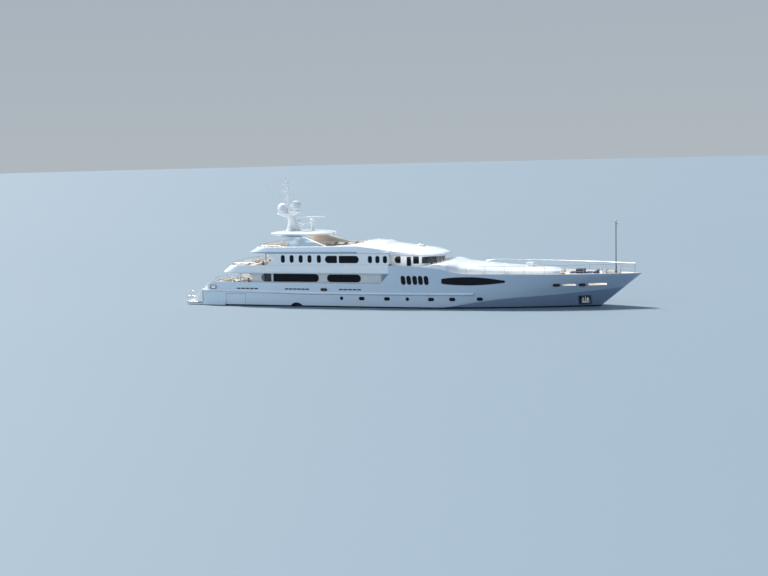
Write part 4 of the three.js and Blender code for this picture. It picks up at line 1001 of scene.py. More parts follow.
def faces_inward(centre, normal):
    return normal.y * centre.y < -0.05 or (centre.x < -10 and normal.x > 0.5)


def bridge_deck():
    shell = band(BRIDGE_FRONT_X - GAP, BRIDGE_BAND, BRIDGE_SLAB_Z, bridge_band_top)
    well = loft([[(x, y, z) for x, y in stern_outline(0, aft, 4.56)]
                 for aft, z in ((-21.2, BRIDGE_DECK_Z), (-21.1, 6))])
    deck = unite(carve(shell, well), *pillars(-19.76, 4.25, MAIN_DECK_Z, 4))
    piece(deck, "bridge_deck_band", ["house", "teak", "inner", "cream_shell"],
          instead=["bridge_deck"], rule=deck_rule(BRIDGE_DECK_Z, BRIDGE_SLAB_Z, faces_inward))


# The shoulders that carry the roof's line aft along the sun deck: x, height of the outer and the inner edge
DECK_SHOULDERS = [(-7.6, 7.17, 7.18), (-6.6, 7.18, 7.23), (-5.7, 7.2, 7.34),
                  (SUN_FRONT_X - 2 * GAP, 7.21, 7.46)]
ROOF_SHOULDERS = [(SUN_FRONT_X, 7.2, 7.46), (-4.2, 7.11, 7.42), (-3.2, 6.9, 7.26), (-2.4, 6.68, 7.02)]


def shoulders(rows):
    """A smooth rise along each side, between the rim and the roof's crown."""
    rings = []
    for x, outer, inner in rows:
        rise, low = inner - outer, SUN_DECK_Z - 0.05
        rings.append([(x, 3.7, low), (x, 4.35, low), (x, 4.42, outer), (x, 4.1, outer + 0.6 * rise),
                      (x, 3.85, outer + 0.92 * rise), (x, 3.7, inner)])
    port = loft(rings)
    return port, mirror_y(port)


def sun_deck():
    shell = band(SUN_FRONT_X - GAP, SUN_BAND, SUN_SLAB_Z, sun_band_top)
    well = plan_prism(stern_outline(-5, -17.7, 4.2), SUN_DECK_Z, 9)
    deck = unite(carve(shell, well), *shoulders(DECK_SHOULDERS), *pillars(-16.42, 4.2, BRIDGE_DECK_Z, 6.4))
    lower = deck_rule(SUN_DECK_Z, SUN_SLAB_Z, faces_inward)
    # Painted highlight: the band's upward faces take the white enamel, its sides the band's painted shade.
    rule = lambda centre, normal: "house" if normal.z > 0.4 and centre.z > 6.95 else lower(centre, normal)
    piece(deck, "sun_deck_band", ["band", "teak", "inner", "cream_shell", "house"],
          instead=["sun_deck"], rule=rule)


SALOON = {"aft": -18.4, "front": -1.9, "half": 3.7, "wall": 0.12, "corner": 0.35,
          "door_half": 0.55, "door_top": 3.75}
LOUNGE = {"aft": -14.6, "front": -0.89, "half": 4.75, "wall": 0.17, "door_half": 0.55, "door_top": 6.05}
# Windows: x from, x to, z from, z to
SALOON_WINDOWS = [(-17.23, -16.01, 2.88, 3.78), (-15.7, -9.95, 2.88, 3.78), (-8.87, -4.72, 2.88, 3.74)]
UPPER_WINDOWS = [(-8.68, -7.25, 5.23, 6.04), (-6.97, -4.57, 5.23, 6.04)]
# Upright ovals: x, middle height, half-height
OVALS = [(x, 5.68, 0.43) for x in (-14, -12.89, -11.75, -10.64, -9.47)] + [
    (x, 5.64, 0.4) for x in (-3.18, -2.28, -1.37)]
OVAL_HALF_WIDTH = 0.225


def one_round_end(x0, x1, z0, z1, forward, steps=14):
    """A window whose forward or aft end is a half circle and whose other end is nearly square."""
    middle, radius = (z0 + z1) / 2, (z1 - z0) / 2
    small, sign = 0.07, (1 if forward else -1)
    round_x = x1 - radius if forward else x0 + radius
    square_x = x0 if forward else x1
    points = [(square_x + sign * small, z0)]
    for i in range(steps + 1):
        turn = math.radians(-90 + 180 * i / steps)
        points.append((round_x + sign * radius * math.cos(turn), middle + radius * math.sin(turn)))
    points += [(square_x + sign * small, z1), (square_x, z1 - small), (square_x, z0 + small)]
    return points


def grown(outline, amount):
    """The outline pushed out from its middle by amount on every side."""
    xs, zs = zip(*outline)
    cx, cz = (min(xs) + max(xs)) / 2, (min(zs) + max(zs)) / 2
    sx = ((max(xs) - min(xs)) / 2 + amount) / ((max(xs) - min(xs)) / 2)
    sz = ((max(zs) - min(zs)) / 2 + amount) / ((max(zs) - min(zs)) / 2)
    return [(cx + (x - cx) * sx, cz + (z - cz) * sz) for x, z in outline]


def saloon_outlines():
    first, second, third = SALOON_WINDOWS
    return [one_round_end(*first, False), one_round_end(*second, True), rounded(*third, 0.43)]


def upper_outlines():
    aft, forward = UPPER_WINDOWS
    ovals = [rounded(x - OVAL_HALF_WIDTH, x + OVAL_HALF_WIDTH, z - half, z + half, OVAL_HALF_WIDTH)
             for x, z, half in OVALS]
    return [one_round_end(*aft, False), one_round_end(*forward, True), *ovals]


def wall_panes(name, outlines, face, material, instead=(), proud=0.012):
    """Panes just inside a flat wall's face, with slim gaskets round them, on both sides."""
    for side, label in SIDES:
        span = lambda a, b: sorted((side * (face + a), side * (face + b)))
        panes = bundle(*[side_prism(grown(o, 0.02), *span(-0.07, -0.035)) for o in outlines])
        piece(panes, f"{name}_panes_{label}", material, instead=[n + label for n in instead])
        rims = bundle(*[carve(side_prism(grown(o, 0.03), *span(-0.05, proud)), through(grown(o, -0.015)))
                        for o in outlines])
        piece(rims, f"{name}_gaskets_{label}", "dark")


def main_deckhouse():
    aft, half, wall, corner = (SALOON[k] for k in ("aft", "half", "wall", "corner"))
    front, door_half, door_top = SALOON["front"] - GAP, SALOON["door_half"], SALOON["door_top"]
    low, high = MAIN_DECK_Z + GAP, BRIDGE_SLAB_Z - GAP
    shell = plan_prism(stern_outline(front, aft, half, corner), low, high)
    inside = plan_prism(stern_outline(front - wall, aft + wall, half - wall, corner - wall), 0, 8)
    door = box(-19, -18, -door_half, door_half, MAIN_DECK_Z + 0.06, door_top)
    lights = end_panels(0.8, 2.7, 2.1, door_top, 0.08, -19, -18)
    sweep = curve_through([(-18.9, 0, low), (-18.58, 0, 2.8), (-18.5, 0, 3.25), (-18.7, 0, 3.62),
                           (-19.15, 0, high)], 6)
    wings = both(side_prism([(-17.9, low), *[(p.x, p.z) for p in sweep], (-17.9, high)], half - wall, half))
    shell = unite(carve(shell, inside), wings)
    shell = carve(shell, cutters(saloon_outlines()), door, *lights)
    piece(shell, "saloon_walls", "house", instead=["main_deckhouse"])


def saloon_glass():
    """Dark panes, with a clear windbreak and a smoked sliding pane in the aftmost window."""
    half, aft = SALOON["half"], SALOON["aft"]
    aft_pane, *dark = saloon_outlines()
    wall_panes("saloon", dark, half, "glass", ["saloon_glazing_"])
    split = SALOON_WINDOWS[0][0] + 0.36
    clear = [(min(x, split), z) for x, z in aft_pane if x < split + 0.4]
    wall_panes("windbreak", [clear], half, "green_glass")
    slider = [(max(x, split + 0.04), z) for x, z in aft_pane]
    wall_panes("sliding_pane", [slider], half, "smoke_glass")
    sheets = end_panels(0.77, 2.73, 2.07, SALOON["door_top"] + 0.03, 0.1, aft + 0.05, aft + 0.08)
    piece(bundle(*sheets), "saloon_aft_panes", "glass")


def upper_deckhouse():
    top, front = SUN_SLAB_Z - GAP, LOUNGE["front"]
    band_top = lambda x: bridge_band_top(x) + GAP
    profile = [(-16.17, band_top(-16.17)), (-15.75, 5.3), (-15.4, 5.56), (-15.2, 5.7), (-15.38, 5.82),
               (-15.75, 6), (-16.2, top), (front, top), (front, band_top(front))]
    wall = both(side_prism(profile, LOUNGE["half"] - LOUNGE["wall"], LOUNGE["half"]))
    wing = both(box(front - 0.15, front, 3.92, LOUNGE["half"] - 0.05, band_top(front), top))
    roof = box(-14.45, front, -LOUNGE["half"] + 0.05, LOUNGE["half"] - 0.05, top - 0.1, top)
    shell = carve(unite(wall, wing, roof), cutters(upper_outlines()))
    piece(shell, "lounge_walls", "house", instead=["upper_deckhouse"])
    wall_panes("lounge", upper_outlines(), LOUNGE["half"], "glass", ["upper_glazing_"])


def lounge_bulkhead():
    half, aft = 4.56 - GAP, LOUNGE["aft"]
    door_half, door_top = LOUNGE["door_half"], LOUNGE["door_top"]
    sheet = box(aft, aft + 0.1, -half, half, BRIDGE_DECK_Z + GAP, SUN_SLAB_Z - GAP)
    door = box(-16, -14, -door_half, door_half, BRIDGE_DECK_Z + 0.06, door_top)
    lights = end_panels(0.9, 3.6, 4.9, door_top, 0.12, -16, -14)
    piece(carve(sheet, door, *lights), "lounge_aft_wall", "house", instead=["lounge_bulkhead"])
    panes = end_panels(0.87, 3.63, 4.87, door_top + 0.03, 0.12, aft + 0.03, aft + 0.06)
    piece(bundle(*panes), "lounge_aft_panes", "glass")


def sliding_door(name, node, on, wall_x, deck_z, half, top):
    """A framed glass leaf just aft of the wall."""
    half, face = half + 0.06, wall_x - 0.012
    leaf = bevel(box(face - 0.05, face, -half, half, deck_z + GAP, top + 0.05), 0.008)
    light = end_prism(rounded(-half + 0.1, half - 0.1, deck_z + 0.3, top - 0.05, 0.05), face - 1, face + 1)
    piece(carve(leaf, light), name, "steel", on, [node])
    pane = rounded(-half + 0.08, half - 0.08, deck_z + 0.28, top - 0.03, 0.05)
    piece(end_prism(pane, face - 0.033, face - 0.017), name + "_glass", "glass", on)
    handle = tube([(face - out, -half + 0.05, deck_z + z)
                   for out, z in ((0.05, 0.9), (0.09, 0.93), (0.09, 1.35), (0.05, 1.38))], 0.012, 8, 3)
    piece(handle, name + "_handle", "steel", on)


# The wheelhouse in plan: straight sides, then a blunt nose to tip by a power of a circle's sine
WHEELHOUSE = {"aft": -0.88, "straight": 2.6, "tip": 4.2, "half": 3.88, "wall": 0.1, "power": 0.8}
SIDE_WINDOWS = [(-0.44, 0.24, 5.17, 5.92), (1.78, 2.43, 5.12, 5.92)]
SIDE_DOOR = {"x": (0.9, 1.62), "top": 6}
MULLIONS_Y = (0.75, 2.1, 3.1)
# The underside of the sun deck and the roof, from the side: x and height
ROOF_UNDERSIDE = [(SUN_FRONT_X, SUN_SLAB_Z), (-0.89, SUN_SLAB_Z), (-0.86, 6.08), (2.6, 6.04), (4.2, 5.98),
                  (5, 5.96)]


def wheelhouse_outline(inset, aft=None, steps=22):
    straight, tip, half = WHEELHOUSE["straight"], WHEELHOUSE["tip"], WHEELHOUSE["half"]
    arc = [(straight + (tip - straight - inset) * ahead, (half - inset) * out)
           for ahead, out in half_round(WHEELHOUSE["power"], steps)]
    aft = WHEELHOUSE["aft"] if aft is None else aft
    return [(aft, inset - half), *arc, (aft, half - inset)]


def under_roof(drop):
    """All the space below the roof's underside, lowered by drop."""
    return through([*[(x, z - drop) for x, z in ROOF_UNDERSIDE], (7, 5.6), (7, 0), (SUN_FRONT_X, 0)])


def wheelhouse():
    shell = plan_prism(wheelhouse_outline(0), BRIDGE_DECK_Z + GAP, 7)
    inside = plan_prism(wheelhouse_outline(WHEELHOUSE["wall"], -3), 0, 8)
    mullions = [box(2, 6, y - 0.05, y + 0.05, 5, 6) for m in MULLIONS_Y for y in (-m, m)]
    screen = carve(box(2.78, 6, -5, 5, 5.12, 5.88), *mullions)
    windows = [one_round_end(*SIDE_WINDOWS[0], False), rounded(*SIDE_WINDOWS[1], 0.1)]
    lights = [through(o) for o in windows]
    doors = box(SIDE_DOOR["x"][0] + 0.06, SIDE_DOOR["x"][1] - 0.06, -6, 6, BRIDGE_DECK_Z + 0.06, 5.95)
    walls = overlap(carve(shell, inside, screen, *lights, doors), under_roof(GAP))
    joint = both(box(-0.888, -0.8, 3.86, 3.9, BRIDGE_DECK_Z + GAP, 6.05))
    piece(joint, "wheelhouse_joint_strips", "pale")
    mullion = lambda centre, normal: "dark" if centre.x > 2.8 and 5.2 < centre.z < 5.8 else None
    # Painted light: the wheelhouse walls under the brow take the brighter white.
    piece(walls, "wheelhouse_walls", ["pale", "dark"], instead=["wheelhouse"], rule=mullion)
    wall_panes("wheelhouse", windows, WHEELHOUSE["half"], "glass", proud=0.005)
    outer = plan_prism(wheelhouse_outline(0.03), 5.1, 5.91)
    inner = plan_prism(wheelhouse_outline(0.055, -3), 0, 8)
    panes = overlap(carve(outer, inner), box(2.74, 7, -6, 6, 0, 8))
    piece(panes, "windscreen_panes", "see_through", instead=["wheelhouse_glazing"])


def side_doors():
    face = WHEELHOUSE["half"] + 0.012
    x0, x1 = SIDE_DOOR["x"]
    for side, label in SIDES:
        on = f"{label}_side_door"
        y0, y1 = sorted((side * face, side * (face + 0.045)))
        leaf = bevel(box(x0, x1, y0, y1, BRIDGE_DECK_Z + GAP, SIDE_DOOR["top"]), 0.008)
        light = through(rounded(x0 + 0.1, x1 - 0.1, 4.84, SIDE_DOOR["top"] - 0.1, 0.08))
        piece(carve(leaf, light), f"side_door_{label}", "house", on,
              [f"wheelhouse_door_{label}"])
        middle = side * (face + 0.02)
        outline = rounded(x0 + 0.08, x1 - 0.08, 4.82, SIDE_DOOR["top"] - 0.08, 0.08)
        pane = side_prism(outline, middle - 0.006, middle + 0.006)
        piece(pane, f"side_door_glass_{label}", "glass", on)
        outside = side * (face + 0.045)
        grip = tube([(x1 - 0.05, outside, 5.1), (x1 - 0.05, outside + side * 0.045, 5.13),
                     (x1 - 0.05, outside + side * 0.045, 5.42), (x1 - 0.05, outside, 5.45)], 0.012, 8, 3)
        piece(grip, f"side_door_grip_{label}", "steel", on)


# The roof's sections: x, half-breadth, height of the fascia's upper edge, crown
ROOF = [
    (SUN_FRONT_X, 4.83, 7.15, 7.48), (-2.5, 4.8, 6.88, 7.38), (-0.89, 4.7, 6.6, 7.2), (0.54, 4.5, 6.42, 7.02),
    (1.6, 4.3, 6.31, 6.88), (2.6, 4.12, 6.22, 6.78), (3.4, 3.86, 6.16, 6.65), (3.9, 3.4, 6.12, 6.54),
    (4.3, 2.8, 6.1, 6.44), (4.65, 2.1, 6.08, 6.36), (4.88, 1.5, 6.07, 6.3), (5, 1.15, 6.07, 6.25),
    (5.12, 0.75, 6.06, 6.19), (5.2, 0.32, 6.05, 6.12),
]
# The raised part of the roof: x, half-breadth, crown
ROOF_HUMP = [(SUN_FRONT_X, 2, 7.52), (-4.4, 2.2, 7.58), (-2.3, 2.2, 7.55), (-1.2, 1.8, 7.14)]
# How far the brow's edge hangs below the roof's underside: x, drop
BROW_DROOP = [(SUN_FRONT_X, 0), (2.6, 0), (4, 0.12), (5, 0.15)]


def arch_over(x, port, crown):
    """A ring from the port points of y and height, over the crown, to the same points to starboard."""
    return [(x, y, z) for y, z in port] + [(x, 0, crown)] + [(x, -y, z) for y, z in reversed(port)]


def roof_ring(x):
    half, fascia, crown = eased_row(ROOF, x)
    under = between(ROOF_UNDERSIDE, x)
    lip = min(0.12, (fascia - under) / 2)
    low = under - between(BROW_DROOP, x)
    side = [(half - 0.25, under), (half - 0.2, low), (half - 0.08, low + 0.015), (half - 0.02, low + lip / 2),
            (half, under + lip), (half - 0.07, (under + lip + fascia) / 2), (half - 0.125, fascia - 0.03)]
    top = [(out * (half - 0.14), crown - (crown - fascia) * out ** 2)
           for out in (1, 0.95, 0.85, 0.7, 0.5, 0.3, 0.15)]
    return arch_over(x, side + top, crown)


def hump_ring(x):
    half, crown = eased_row(ROOF_HUMP, x)
    port = [(1, 6.7), (1, crown - 0.5), (0.98, crown - 0.4), (0.93, crown - 0.28), (0.85, crown - 0.17),
            (0.74, crown - 0.09), (0.6, crown - 0.04), (0.3, crown - 0.005)]
    return arch_over(x, [(half * share, z) for share, z in port], crown)


def wheelhouse_roof():
    knots = sorted({*np.linspace(SUN_FRONT_X, ROOF[-1][0], 80).tolist(), -0.89, -0.86})
    brow = loft([roof_ring(x) for x in knots])
    hump = loft([hump_ring(float(x)) for x in np.linspace(SUN_FRONT_X, ROOF_HUMP[-1][0], 24)])
    piece(unite(brow, hump, *shoulders(ROOF_SHOULDERS)), "wheelhouse_brow", "house",
          instead=["wheelhouse_roof"])


# Foredeck trunk: x, half-breadth at the deck, top, power of the section's curve
TRUNK = [
    (2.6, 5.2, 4.78, 0.12), (3.2, 5.2, 4.95, 0.12), (3.8, 5.15, 5.1, 0.12), (4.6, 5.05, 5.22, 0.12),
    (5.7, 4.7, 5.36, 0.2), (6.4, 4.3, 5.3, 0.3), (7.2, 3.9, 5.12, 0.4), (9, 3.4, 4.96, 0.4),
    (12, 3, 4.7, 0.4), (15.8, 2.4, 4.47, 0.4), (17.6, 1.9, 4.36, 0.4), (18.3, 1.3, 4.2, 0.4),
]


def trunk_ring(x, base=3, steps=44):
    """One section across the foredeck trunk."""
    half, top, power = eased_row(TRUNK, x)
    ring = []
    for i in range(steps + 1):
        turn = math.pi * i / steps
        rise = max(0, math.sin(turn)) ** power
        ring.append((x, half * signed_power(math.cos(turn), 0.6), base + (top - base) * rise))
    return ring


def foredeck_trunk():
    """The coachroof with the breastwork round the walk in front of the wheelhouse."""
    start, reach, half = TRUNK[0][0], 3.1, 4.3
    rings = [trunk_ring(float(x)) for x in np.linspace(start, TRUNK[-1][0], 90)]
    arc = [(start + reach * ahead, half * out) for ahead, out in half_round(0.8, 20)]
    walkway = plan_prism([(2, -half), *arc, (2, half)], 2, 9)
    room = overlap(hull_form(0.15 + GAP, 2), through(upper_deck_line(GAP)))
    mound = overlap(carve(loft(rings), walkway), room)
    vent = bevel(box(14.3, 15.15, -0.4, 0.4, 4.2, 4.98), 0.06, 3)
    piece(unite(mound, vent), "foredeck_coachroof", "house", instead=["foredeck_trunk"])


# The platform's rounded corner: x and half-breadth
PLATFORM_CORNER = [(-26.6, 4.15), (-26.95, 4.05), (-27.17, 3.85), (-27.27, 3.5), (-27.3, 2.8)]
STEPS, TREAD = 6, 0.22
# The curved edge of the walls beside the steps: x and height
STEP_WALL = [(-24.85, 1.99), (-25.3, 1.5), (-25.62, 1.02), (-25.75, 0.6), (-25.78, 0.2)]


def platform_outline(inset=0.0):
    """The swim platform in plan, with its rounded corners."""
    corner = curve_through([(x, y, 0) for x, y in PLATFORM_CORNER], 4)
    port = [(TRANSOM_X - GAP - inset / 4, 4.2 - inset), *[(p.x + inset, p.y - inset) for p in corner]]
    return [*port, *[(x, -y) for x, y in reversed(port)]]


def stair_flight(front):
    """The port steps between their curved walls."""
    rise = (MAIN_DECK_Z - PLATFORM_Z) / STEPS
    profile = [(front, 0.2)]
    for k in range(STEPS):
        profile += [(front - TREAD * n, MAIN_DECK_Z - rise * k) for n in (k, k + 1)]
    profile.append((front - TREAD * STEPS, 0.2))
    sweep = curve_through([(x, 0, z) for x, z in STEP_WALL], 5)
    coaming = [(front, 0.2), (front, 2), *[(p.x, p.z) for p in sweep]]
    walls = [bevel(side_prism(coaming, a, b), 0.035, 3)
             for a, b in ((STAIR_Y[1], STAIR_Y[1] + 0.14), (STAIR_Y[0] - 0.12, STAIR_Y[0]))]
    return unite(side_prism(profile, STAIR_Y[0] - 0.05, STAIR_Y[1] + 0.05), *walls)


def stair_treads(front):
    """Teak treads of the port flight, from the deck down to the platform."""
    rise = (MAIN_DECK_Z - PLATFORM_Z) / STEPS
    inner, outer = STAIR_Y[0] + 0.04, STAIR_Y[1] - 0.04
    return [box(front - TREAD * (k + 1) + 0.015, front - TREAD * k - 0.01, inner, outer,
                MAIN_DECK_Z - rise * k - 0.01, MAIN_DECK_Z - rise * k + 0.008) for k in range(STEPS)]


def swim_platform():
    front = TRANSOM_X - GAP
    slab = bevel(plan_prism(platform_outline(), -0.05, PLATFORM_Z), 0.03, 3)
    flight = stair_flight(front)
    side = lambda centre, normal: "hull" if centre.z < 0.3 and abs(normal.z) < 0.5 else None
    # Painted light: the platform and step walls take the brighter white.
    piece(unite(slab, flight, mirror_y(flight)), "stern_platform", ["pale", "hull"],
          instead=["swim_platform"], rule=side)
    planks = plan_prism(platform_outline(0.14), PLATFORM_Z - 0.01, PLATFORM_Z + 0.008)
    piece(bundle(planks, both(bundle(*stair_treads(front)))), "platform_planking", "teak")
    edge = [(x, y, 0.31) for x, y in platform_outline(-0.01)]
    piece(tube(edge, 0.04, 10), "platform_fender", "rubber")
    # Dark strips at the hull's aft corners beside the steps: painted shadow in the gap there.
    strips = both(rod((TRANSOM_X - 0.05, 4.27, 0.5), (TRANSOM_X - 0.05, 4.27, MAIN_DECK_Z), 0.075, 12))
    piece(strips, "stern_corner_shadow_strips", "rubber")
    lamps = both(bundle(*[rod((-26.19, y, 0.41), (-26.19, y, 0.425), 0.045, 16) for y in (0.6, 1.8)]))
    piece(lamps, "platform_deck_lights", "steel")


def shell_doors():
    """The two leaves that fold out of the topsides, cut from the same skin."""
    x0, x1, z0, z1 = SHELL_DOOR
    leaf = overlap(carve(hull_form(), hull_form(0.1)),
                   box(x0 + CLEAR, x1 - CLEAR, 4.2, 6, z0 + GAP, z1 - CLEAR))
    ribs = bundle(*[box(x - 0.03, x + 0.03, 4.28, 4.42, z0 + 0.1, z1 - 0.1)
                    for x in np.linspace(x0 + 0.3, x1 - 0.3, 5)])
    for label, parts in (("starboard", (mirror_y(leaf), mirror_y(ribs))), ("port", (leaf, ribs))):
        on = f"{label}_shell_door"
        piece(parts[0], f"shell_door_leaf_{label}", "hull", on, [f"shell_door_{label}"])
        piece(overlap(parts[1], hull_form(0.08)), f"shell_door_ribs_{label}", "house", on)


def transom_door():
    half, z0, z1 = TRANSOM_OPENING[1] - CLEAR, TRANSOM_OPENING[2] + CLEAR, TRANSOM_OPENING[3] - GAP
    leaf = bevel(box(TRANSOM_X + GAP, TRANSOM_X + 0.1, -half, half, z0, z1), 0.012)
    piece(leaf, "stern_door_leaf", "house", "stern_door", ["transom_door"])
    grips = bundle(*[tube([(TRANSOM_X, y - 0.12, 0.72), (TRANSOM_X - 0.04, y - 0.1, 0.72),
                           (TRANSOM_X - 0.04, y + 0.1, 0.72), (TRANSOM_X, y + 0.12, 0.72)], 0.013, 8, 3)
                     for y in (-0.9, 0.9)])
    piece(grips, "stern_door_grips", "steel", "stern_door")


# Fittings in the topsides


def ringed(outlines, width, proud, depth):
    """Rims round openings in the topsides, following the skin."""
    return carve(skin_band([grown(o, width) for o in outlines], -proud, depth),
                 cutters(outlines))


def two_holes(x0, x1, z0, z1, inset=0.05, bar=0.07):
    """The openings of a two-roller fairlead."""
    middle = (x0 + x1) / 2
    return [rounded(x0 + inset, middle - bar / 2, z0 + inset, z1 - inset, 0.12),
            rounded(middle + bar / 2, x1 - inset, z0 + inset, z1 - inset, 0.12)]


def fairleads():
    """Polished rims round the leads and hawses, with dark plates and sleeves, and sheets of painted shadow
    behind.
    """
    doubles = [MIDSHIP_HAWSE, *FAIRLEADS]
    holes = [rounded(*d, HAWSE_CORNER) for d in doubles]
    aft = rounded(*AFT_FAIRLEAD, FAIRLEAD_CORNER)
    piece(ringed([aft, *holes], 0.06, 0.035, 0.04), "fairlead_rims", "steel")
    plates = carve(skin_band(holes, 0.02, 0.06), cutters([hole for d in doubles for hole in two_holes(*d)]))
    piece(plates, "fairlead_plates", "dark")
    # Sheets of painted shadow behind the fairleads and scuppers.
    piece(skin_band([*holes, *scuppers()], 0.1, 0.13), "fairlead_and_scupper_shadow_backs", "shadow")
    sleeve = carve(skin_band([aft], 0.0, 0.16), through(grown(aft, -0.05)))
    piece(sleeve, "aft_fairlead_sleeves", "dark")
    slots = [rounded(*slot, SLOT_CORNER) for slot in MOORING_SLOTS]
    piece(ringed(slots, 0.03, 0.012, 0.03), "mooring_slot_rims", "steel")


def pocket_frames():
    x0, x1, z0, z1 = ANCHOR_POCKET
    opening = rounded(x0 + 0.02, x1 - 0.02, z0 + 0.02, z1 - 0.02, 0.04)
    piece(ringed([opening], 0.07, 0.03, 0.05), "anchor_pocket_frames", "dark")


def thruster_grilles():
    """A rim and four upright bars over each end of the bow thruster's tunnel."""
    x, z, radius = THRUSTER
    rims = overlap(carve(hull_form(-0.03), hull_form(0.05)), both(carve(
        rod((x, 0.2, z), (x, 4, z), radius + 0.07, 40), rod((x, 0, z), (x, 5, z), radius - 0.01, 40))))
    bars = [box(x + d - 0.012, x + d + 0.012, -3, 3, z - 0.4, z + 0.4) for d in (-0.2, -0.07, 0.07, 0.2)]
    grille = overlap(bundle(*bars), carve(hull_form(0.02), hull_form(0.08)))
    piece(bundle(rims, grille), "thruster_grilles", "dark")


def door_seams():
    """Rubber lips round the shell doors' openings."""
    grow = 0.012
    x0, x1, z0, z1 = SHELL_DOOR
    opening = rounded(x0 - grow, x1 + grow, z0 - grow, z1 + grow, 0.02)
    piece(ringed([opening], 0.012, 0.006, 0.04), "shell_door_seals", "rubber")


def anchors():
    """Plate anchors of polished steel, each lying in its pocket."""
    x, z, floor = 21.05, 0.8, POCKET_FLOOR + GAP
    plate = lambda outline, thick: side_prism([(x + dx, z + dz) for dx, dz in outline], floor, floor + thick)
    shank = bevel(plate([(-0.06, -0.3), (0.06, -0.3), (0.05, 0.42), (-0.05, 0.42)], 0.12), 0.02, 3)
    crown = bevel(plate([(-0.42, -0.38), (0.42, -0.38), (0.36, -0.18), (0.1, -0.12), (-0.1, -0.12),
                         (-0.36, -0.18)], 0.2), 0.025, 3)
    fluke = [(0.38, -0.3), (0.14, -0.2), (0.16, 0.22), (0.3, 0.3), (0.42, 0.05), (0.44, -0.1)]
    flukes = [bevel(plate([(s * dx, dz) for dx, dz in fluke], 0.1), 0.02, 2) for s in (-1, 1)]
    bow = [(-0.045, 0.38), (-0.05, 0.46), (0, 0.49), (0.05, 0.46), (0.045, 0.38)]
    shackle = tube([(x + dx, floor + 0.06, z + dz) for dx, dz in bow], 0.018, 8, 3)
    port = bundle(unite(shank, crown, *flukes), shackle)
    for obj, label in ((mirror_y(port), "starboard"), (port, "port")):
        piece(obj, f"anchor_in_pocket_{label}", "steel", instead=[f"anchor_{label}"])


# Rails

RAIL_RADIUS = 0.027


def railing(name, node, top, posts, steps=5, wires=(0.35, 0.68)):
    """A round handrail on posts with foot plates, and thin wires between. Posts are foot and head."""
    parts = [tube(top, RAIL_RADIUS, 10, steps)]
    for foot, head in posts:
        x, y, z = foot
        parts.append(rod(foot, head, RAIL_RADIUS * 0.85, 10))
        parts.append(rod(foot, (x, y, z + 0.02), 0.06, 14))
        parts.append(rod((x, y, z + 0.02), (x, y, z + 0.07), 0.045, 14, RAIL_RADIUS))
    for share in wires:
        line = [tuple(f + share * (h - f) for f, h in zip(foot, head)) for foot, head in posts]
        if len(line) > 1:
            parts.append(tube(line, 0.009, 6, 2))
    piece(bundle(*parts), name, "steel", instead=[node])


def foredeck_rails():
    height = 4.88
    posts_x = [10.28, 12.49, 14.65, 16.85, 19, 21.1, 23.1, 25, 26.5]
    for side, label in SIDES:
        at = lambda x, z: (x, side * (section(x)["sheer"][0] - 0.07), z)
        foot = lambda x: between(SHEER, x) + FOOT_GAP
        top = [at(8.12, foot(8.12) + 0.005), at(8.2, 4.5), at(9.2, 4.83), *[at(x, height) for x in posts_x]]
        railing(f"foredeck_handrail_{label}", f"foredeck_rail_{label}", top,
                [(at(x, foot(x)), at(x, height)) for x in posts_x])


def stern_rail(name, node, front, aft, half, top_z, rim, posts):
    """A rail round a deck's stern: posts are numbers along its outline, rim the height they stand on."""
    route = stern_outline(front, aft, half, 2.6, 8)
    smooth = stern_outline(front, aft, half, 2.6, 24)
    places = [route[i] for i in posts]
    railing(name, node, [(x, y, top_z) for x, y in smooth],
            [((x, y, rim(x) + FOOT_GAP), (x, y, top_z)) for x, y in places], 0, (0.5,))


def deck_rails():
    stern_rail("bridge_deck_handrail", "bridge_deck_rail", -15.92, -21.28, 4.64, 5.17, bridge_band_top,
               (1, 3, 5, 7, 9, 11, 13, 15, 17))
    stern_rail("sun_deck_handrail", "sun_deck_rail", -14.3, -17.82, 4.36, 7.2, sun_band_top,
               (0, 2, 4, 6, 9, 12, 14, 16, 18))


def transom_rail():
    x, half, foot, top, bend = -24, 2.3, 2.7275, 3.1, 0.15
    bent = ((half, foot), (half, top - bend), (half - bend / 3, top - bend / 3), (half - bend, top))
    leg = lambda s: [(x, s * y, z) for y, z in bent]
    railing("transom_handrail", "transom_rail", [*leg(-1), (x, -1, top), (x, 1, top), *reversed(leg(1))],
            [((x, y, foot), (x, y, top)) for y in (-1.2, 0, 1.2)], 4, ())


def hoop(x0, x1, y, foot, top, bend=0.12):
    """A rail bent down to its feet at both ends, with foot plates."""
    rise = [(0, foot), (0, top - bend), (bend / 3, top - bend / 3), (bend, top)]
    line = [(x0 + d, y, z) for d, z in rise] + [(x1 - d, y, z) for d, z in reversed(rise)]
    feet = [rod((x, y, foot), (x, y, foot + 0.02), 0.06, 14) for x in (x0, x1)]
    return [tube(line, RAIL_RADIUS, 10, 4), *feet]


def platform_rails():
    for side, label in SIDES:
        y, foot = side * 3.7, PLATFORM_Z + GAP
        parts = [*hoop(-27.08, -26.72, y, foot, 1.55), *hoop(-26.56, -26.12, y, foot, 1.6),
                 rod((-27.08, y, 1), (-26.12, y, 1), RAIL_RADIUS * 0.8, 10)]
        piece(bundle(*parts), f"platform_handrail_{label}", "steel",
              instead=[f"platform_rail_{label}"])


def cappings():
    """A slim polished trim along the main deck's bulwarks."""
    line = [(x, section(x)["sheer"][0] - HULL_WALL / 2, MAIN_BULWARK_Z - 0.06 * (x + 23.5) / 21.5 + 0.008)
            for x in np.linspace(-23, -2.1, 40)]
    piece(both(tube(line, 0.022, 8)), "main_bulwark_capping", "steel")


# Arch, hardtop and masts

